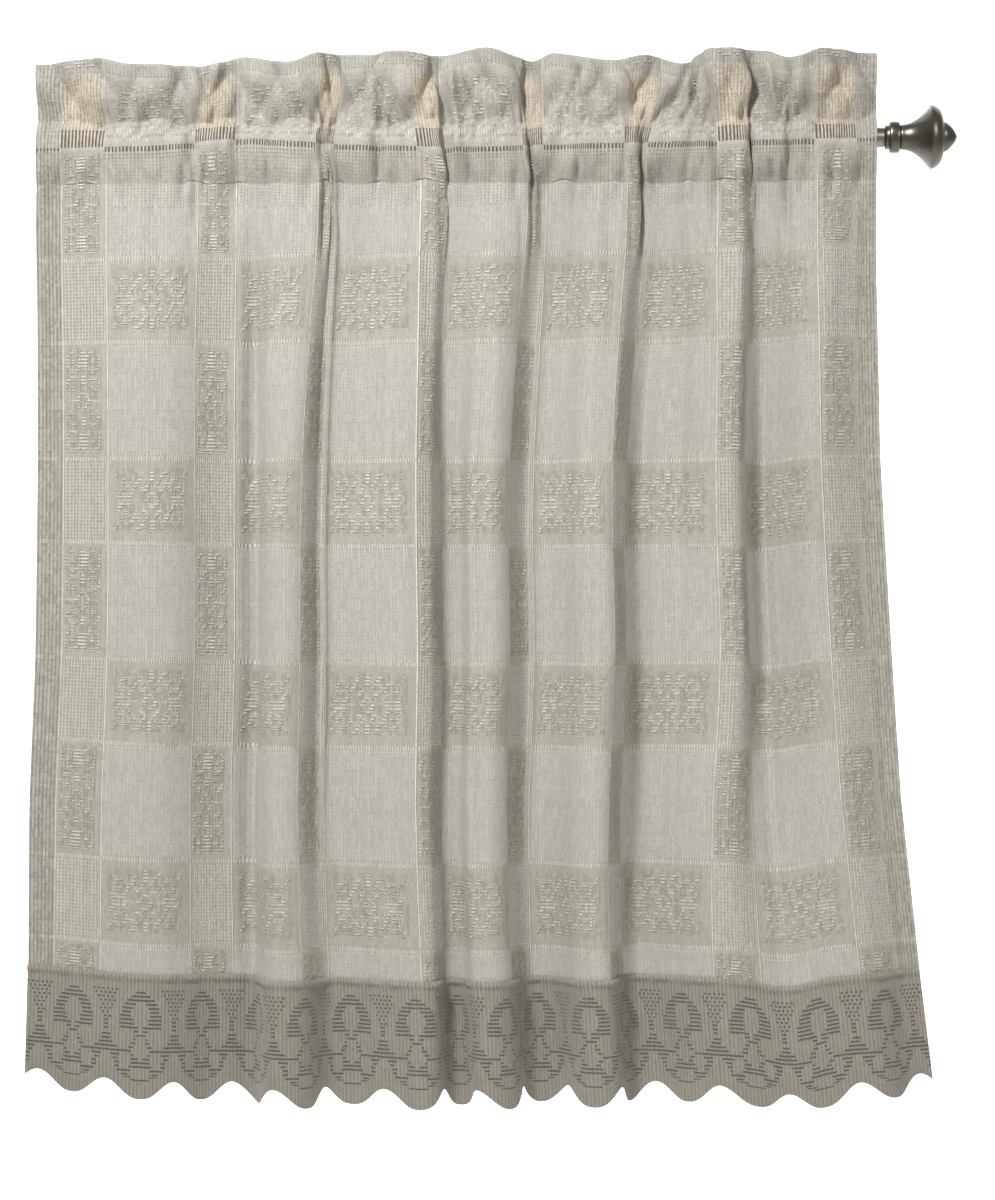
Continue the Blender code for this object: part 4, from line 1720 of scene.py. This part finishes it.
@dataclass
class RodSet:
    """The rod, its collar and its finial."""

    rod_radius: float = 0.0058
    rod_left: float = -0.2395
    rod_right: float = 0.2475
    gap: float = 0.0003
    edge: float = 0.0006
    collar_step: float = 0.0069
    collar_step_length: float = 0.0023
    collar_radius: float = 0.0091
    collar_length: float = 0.0086
    collar_chamfer: float = 0.0012
    neck_radius: float = 0.0072
    rim_radius: float = 0.0184
    rim_place: float = 0.0170
    flare_power: float = 2.1
    knob_radius: float = 0.0089
    knob_place: float = 0.0245
    finial_length: float = 0.0325
    knob_end_power: float = 1.6
    knob_round_power: float = 0.75
    soft_edge: float = 0.0004
    bead: float = 0.0007
    steps: int = 26

    def rod(self, material: bpy.types.Material) -> bpy.types.Object:
        """Turns the plain rod with its broken edges.

        Args:
            material: Its metal.

        Returns:
            The rod.
        """
        length = self.rod_right - self.rod_left
        r, e = self.rod_radius, self.edge
        stations = [(0.0, r - e), (0.3 * e, r - 0.3 * e), (e, r), (length - e, r)]
        stations += [(length - 0.3 * e, r - 0.3 * e), (length, r - e)]
        return TurnedPiece("rod_tube", self.rod_left, stations).build(material)

    def collar(self, material: bpy.types.Material) -> bpy.types.Object:
        """Turns the collar: a thin step and a chamfered band with soft edges.

        Args:
            material: Its metal.

        Returns:
            The collar.
        """
        r, s, c, n = self.collar_radius, self.collar_step, self.collar_chamfer, self.collar_length
        step = self.collar_step_length
        stations = [
            (0.0, s - self.soft_edge),
            (self.soft_edge, s),
            (step - self.soft_edge, s),
            (step, s + 0.0002),
            (step, r - c),
            (step + 0.25 * c, r - 0.45 * c),
            (step + c, r - 0.06 * c),
            (step + 1.3 * c, r),
            (n - 1.3 * c, r),
            (n - c, r - 0.06 * c),
            (n - 0.25 * c, r - 0.45 * c),
            (n, r - c),
        ]
        return TurnedPiece("collar_band", self.rod_right + self.gap, stations).build(material)

    def finial(self, material: bpy.types.Material) -> bpy.types.Object:
        """Turns the finial: a bead at the neck, a hollow flare, a crisp rim, a rounded back and a pointed knob.

        Args:
            material: Its metal.

        Returns:
            The finial.
        """
        neck, rim, knob = self.neck_radius, self.rim_radius, self.knob_radius
        bead, steps = self.bead, self.steps
        stations = [(0.0, neck * 0.9), (0.0003, neck * 0.98), (bead, neck)]
        for i in range(1, steps + 1):
            share = i / steps
            along = bead + (self.rim_place - bead) * share
            stations.append((along, neck + (rim - neck) * (along / self.rim_place) ** self.flare_power))
        back = self.knob_place - self.rim_place
        for i in range(1, steps):
            angle = 0.5 * math.pi * i / steps
            radius = knob + (rim - knob) * math.cos(angle)
            stations.append((self.rim_place + back * math.sin(angle), radius))
        tip = self.finial_length - self.knob_place
        for i in range(steps - 1):
            share = math.sin(0.5 * math.pi * i / steps)
            radius = knob * (1.0 - share**self.knob_end_power) ** self.knob_round_power
            stations.append((self.knob_place + tip * share, max(radius, 0.0002)))
        stations.append((self.finial_length, 0.0001))
        start = self.rod_right + self.gap + self.collar_length + self.gap
        return TurnedPiece("finial_turned", start, stations).build(material)


@dataclass
class Studio:
    """Pale sweep, soft lights and the camera."""

    floor_z: float = -0.80
    wall_y: float = 2.9
    bend: float = 0.7
    reach: float = 3.2
    look_x: float = 0.0250
    look_z: float = -0.2660
    distance: float = 1.80
    azimuth: float = 2.5
    frame_height: float = 0.6936
    sensor: float = 36.0
    bend_steps: int = 16
    paper_light: tuple[float, float, float] = (0.0, 1.3, 1.9)
    paper_light_tilt: float = 50.0
    paper_light_sides: tuple[float, float] = (4.0, 0.5)
    paper_light_power: float = 150.0
    sky_strength: float = 0.30

    def sweep(self) -> bpy.types.Object:
        """Makes the floor that bends up into a backdrop, in matt white paper with a faint grain 25 mm across.

        Returns:
            The sweep.
        """
        bpy.ops.object.select_all(action="DESELECT")
        bpy.ops.mesh.primitive_plane_add(size=1.0)
        piece = bpy.context.active_object
        piece.name = "studio_sweep"
        bpy.ops.object.mode_set(mode="EDIT")
        bpy.ops.mesh.select_mode(type="EDGE")
        bpy.ops.mesh.select_all(action="DESELECT")
        bpy.ops.object.mode_set(mode="OBJECT")
        mesh = piece.data
        corners = ((-1, -1), (1, -1), (-1, 1), (1, 1))
        for vertex, (sx, sy) in zip(mesh.vertices, corners):
            y = -self.reach if sy < 0 else self.wall_y - self.bend
            vertex.co = (sx * self.reach, y, self.floor_z)
        for edge in mesh.edges:
            edge.select = all(mesh.vertices[v].co.y > 0.0 for v in edge.vertices)
        bpy.ops.object.mode_set(mode="EDIT")
        for i in range(self.bend_steps):
            a0, a1 = (0.5 * math.pi * k / self.bend_steps for k in (i, i + 1))
            back = self.bend * (math.sin(a1) - math.sin(a0))
            rise = self.bend * (math.cos(a0) - math.cos(a1))
            bpy.ops.mesh.extrude_region_move(TRANSFORM_OT_translate={"value": (0.0, back, rise)})
        bpy.ops.mesh.extrude_region_move(TRANSFORM_OT_translate={"value": (0.0, 0.0, self.reach)})
        bpy.ops.object.mode_set(mode="OBJECT")
        mesh.shade_smooth()
        material = bpy.data.materials.new("pale_paper")
        material.use_nodes = True
        tree = material.node_tree
        paper = tree.nodes["Principled BSDF"]
        coords = add_node(tree, "TexCoord")
        grain = add_node(tree, "TexNoise", inputs={"Vector": coords.outputs["Object"], "Scale": 40.0})
        tone = add_node(
            tree,
            "Mix",
            {"data_type": "RGBA"},
            {0: grain.outputs[0], 6: linear("#f6f6f4"), 7: linear("#f3f3f1")},
        )
        tree.links.new(tone.outputs[2], paper.inputs["Base Color"])
        paper.inputs["Roughness"].default_value = 0.9
        mesh.materials.append(material)
        return piece

    def light(
        self, name: str, place: tuple[float, float, float], size: float, power: float, spread: float
    ) -> bpy.types.Object:
        """Adds one soft light that faces the curtain's middle.

        Args:
            name: The light's name.
            place: Where it stands.
            size: Side of its square face.
            power: Watts.
            spread: Widest angle of its beam in degrees.

        Returns:
            The light.
        """
        bpy.ops.object.light_add(type="AREA", location=place)
        lamp = bpy.context.active_object
        lamp.name = name
        lamp.data.shape = "SQUARE"
        lamp.data.size = size
        lamp.data.energy = power
        lamp.data.spread = math.radians(spread)
        self.aim(lamp, self.look_x, self.look_z)
        return lamp

    def backdrop_light(self) -> None:
        """Adds the light that keeps the paper behind the curtain white."""
        tilt = math.radians(self.paper_light_tilt)
        bpy.ops.object.light_add(type="AREA", location=self.paper_light, rotation=(tilt, 0.0, 0.0))
        lamp = bpy.context.active_object
        lamp.name = "paper_light"
        lamp.data.shape = "RECTANGLE"
        lamp.data.size, lamp.data.size_y = self.paper_light_sides
        lamp.data.energy = self.paper_light_power

    def aim(self, thing: bpy.types.Object, x: float, z: float) -> None:
        """Turns a light or a camera to a place on the curtain."""
        way = Vector((x, 0.0, z)) - thing.location
        thing.rotation_euler = way.to_track_quat("-Z", "Y").to_euler()

    def build(self) -> None:
        """Sets the sweep, the lights, the sky and the camera."""
        self.sweep()
        key = self.light("key_light", place=(-0.60, -1.34, 1.08), size=0.30, power=6.2, spread=66.0)
        self.aim(key, x=-0.04, z=-0.14)
        self.light("fill_light", place=(1.30, -1.20, 0.55), size=0.6, power=7.5, spread=180.0)
        self.backdrop_light()
        world = bpy.data.worlds.new("studio_sky")
        bpy.context.scene.world = world
        world.use_nodes = True
        sky = world.node_tree.nodes["Background"]
        sky.inputs["Color"].default_value = linear("#fff5e9")
        sky.inputs["Strength"].default_value = self.sky_strength
        angle = math.radians(self.azimuth)
        place = (
            self.look_x + self.distance * math.sin(angle),
            -self.distance * math.cos(angle),
            self.look_z,
        )
        bpy.ops.object.camera_add(location=place)
        camera = bpy.context.active_object
        camera.name = "photo_camera"
        self.aim(camera, self.look_x, self.look_z)
        camera.data.sensor_width = self.sensor
        camera.data.lens = self.sensor * self.distance / self.frame_height
        camera.data.clip_start = 0.01
        scene = bpy.context.scene
        scene.camera = camera
        scene.view_settings.view_transform = "Standard"
        scene.cycles.max_bounces = 6
        scene.cycles.transparent_max_bounces = 12


def settle(piece: bpy.types.Object, node: str) -> None:
    """Puts a finished piece on the part's body, in a node's place, and reports it.

    Args:
        piece: The piece.
        node: The node it stands for.
    """
    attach(piece, "root")
    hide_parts(node)
    LOG.info("%s: %d faces", piece.name, len(piece.data.polygons))


def main() -> None:
    """Builds the pieces in order and dresses the scene."""
    logging.basicConfig(level=logging.INFO, format="%(message)s")
    hang = GatheredHang()
    panel = Panel(hang)
    lace = LaceMaterial(PANEL_LACE).build()
    body = panel.build_body(lace)
    heading = panel.build_heading(lace)
    hems = [panel.build_side_hem(side, lace) for side in Side]
    for piece in (body, heading, *hems):
        settle(piece, "panel")
    edging = Edging(panel)
    border = edging.build(LaceMaterial(EDGING_LACE).build())
    settle(border, "edging")
    metal = MetalMaterial(ROD_METAL).build()
    finial_metal = MetalMaterial(FINIAL_METAL).build()
    rods = RodSet()
    settle(rods.rod(metal), "rod")
    settle(rods.collar(finial_metal), "finial_collar")
    settle(rods.finial(finial_metal), "finial")
    Studio().build()


if __name__ == "__main__":
    main()
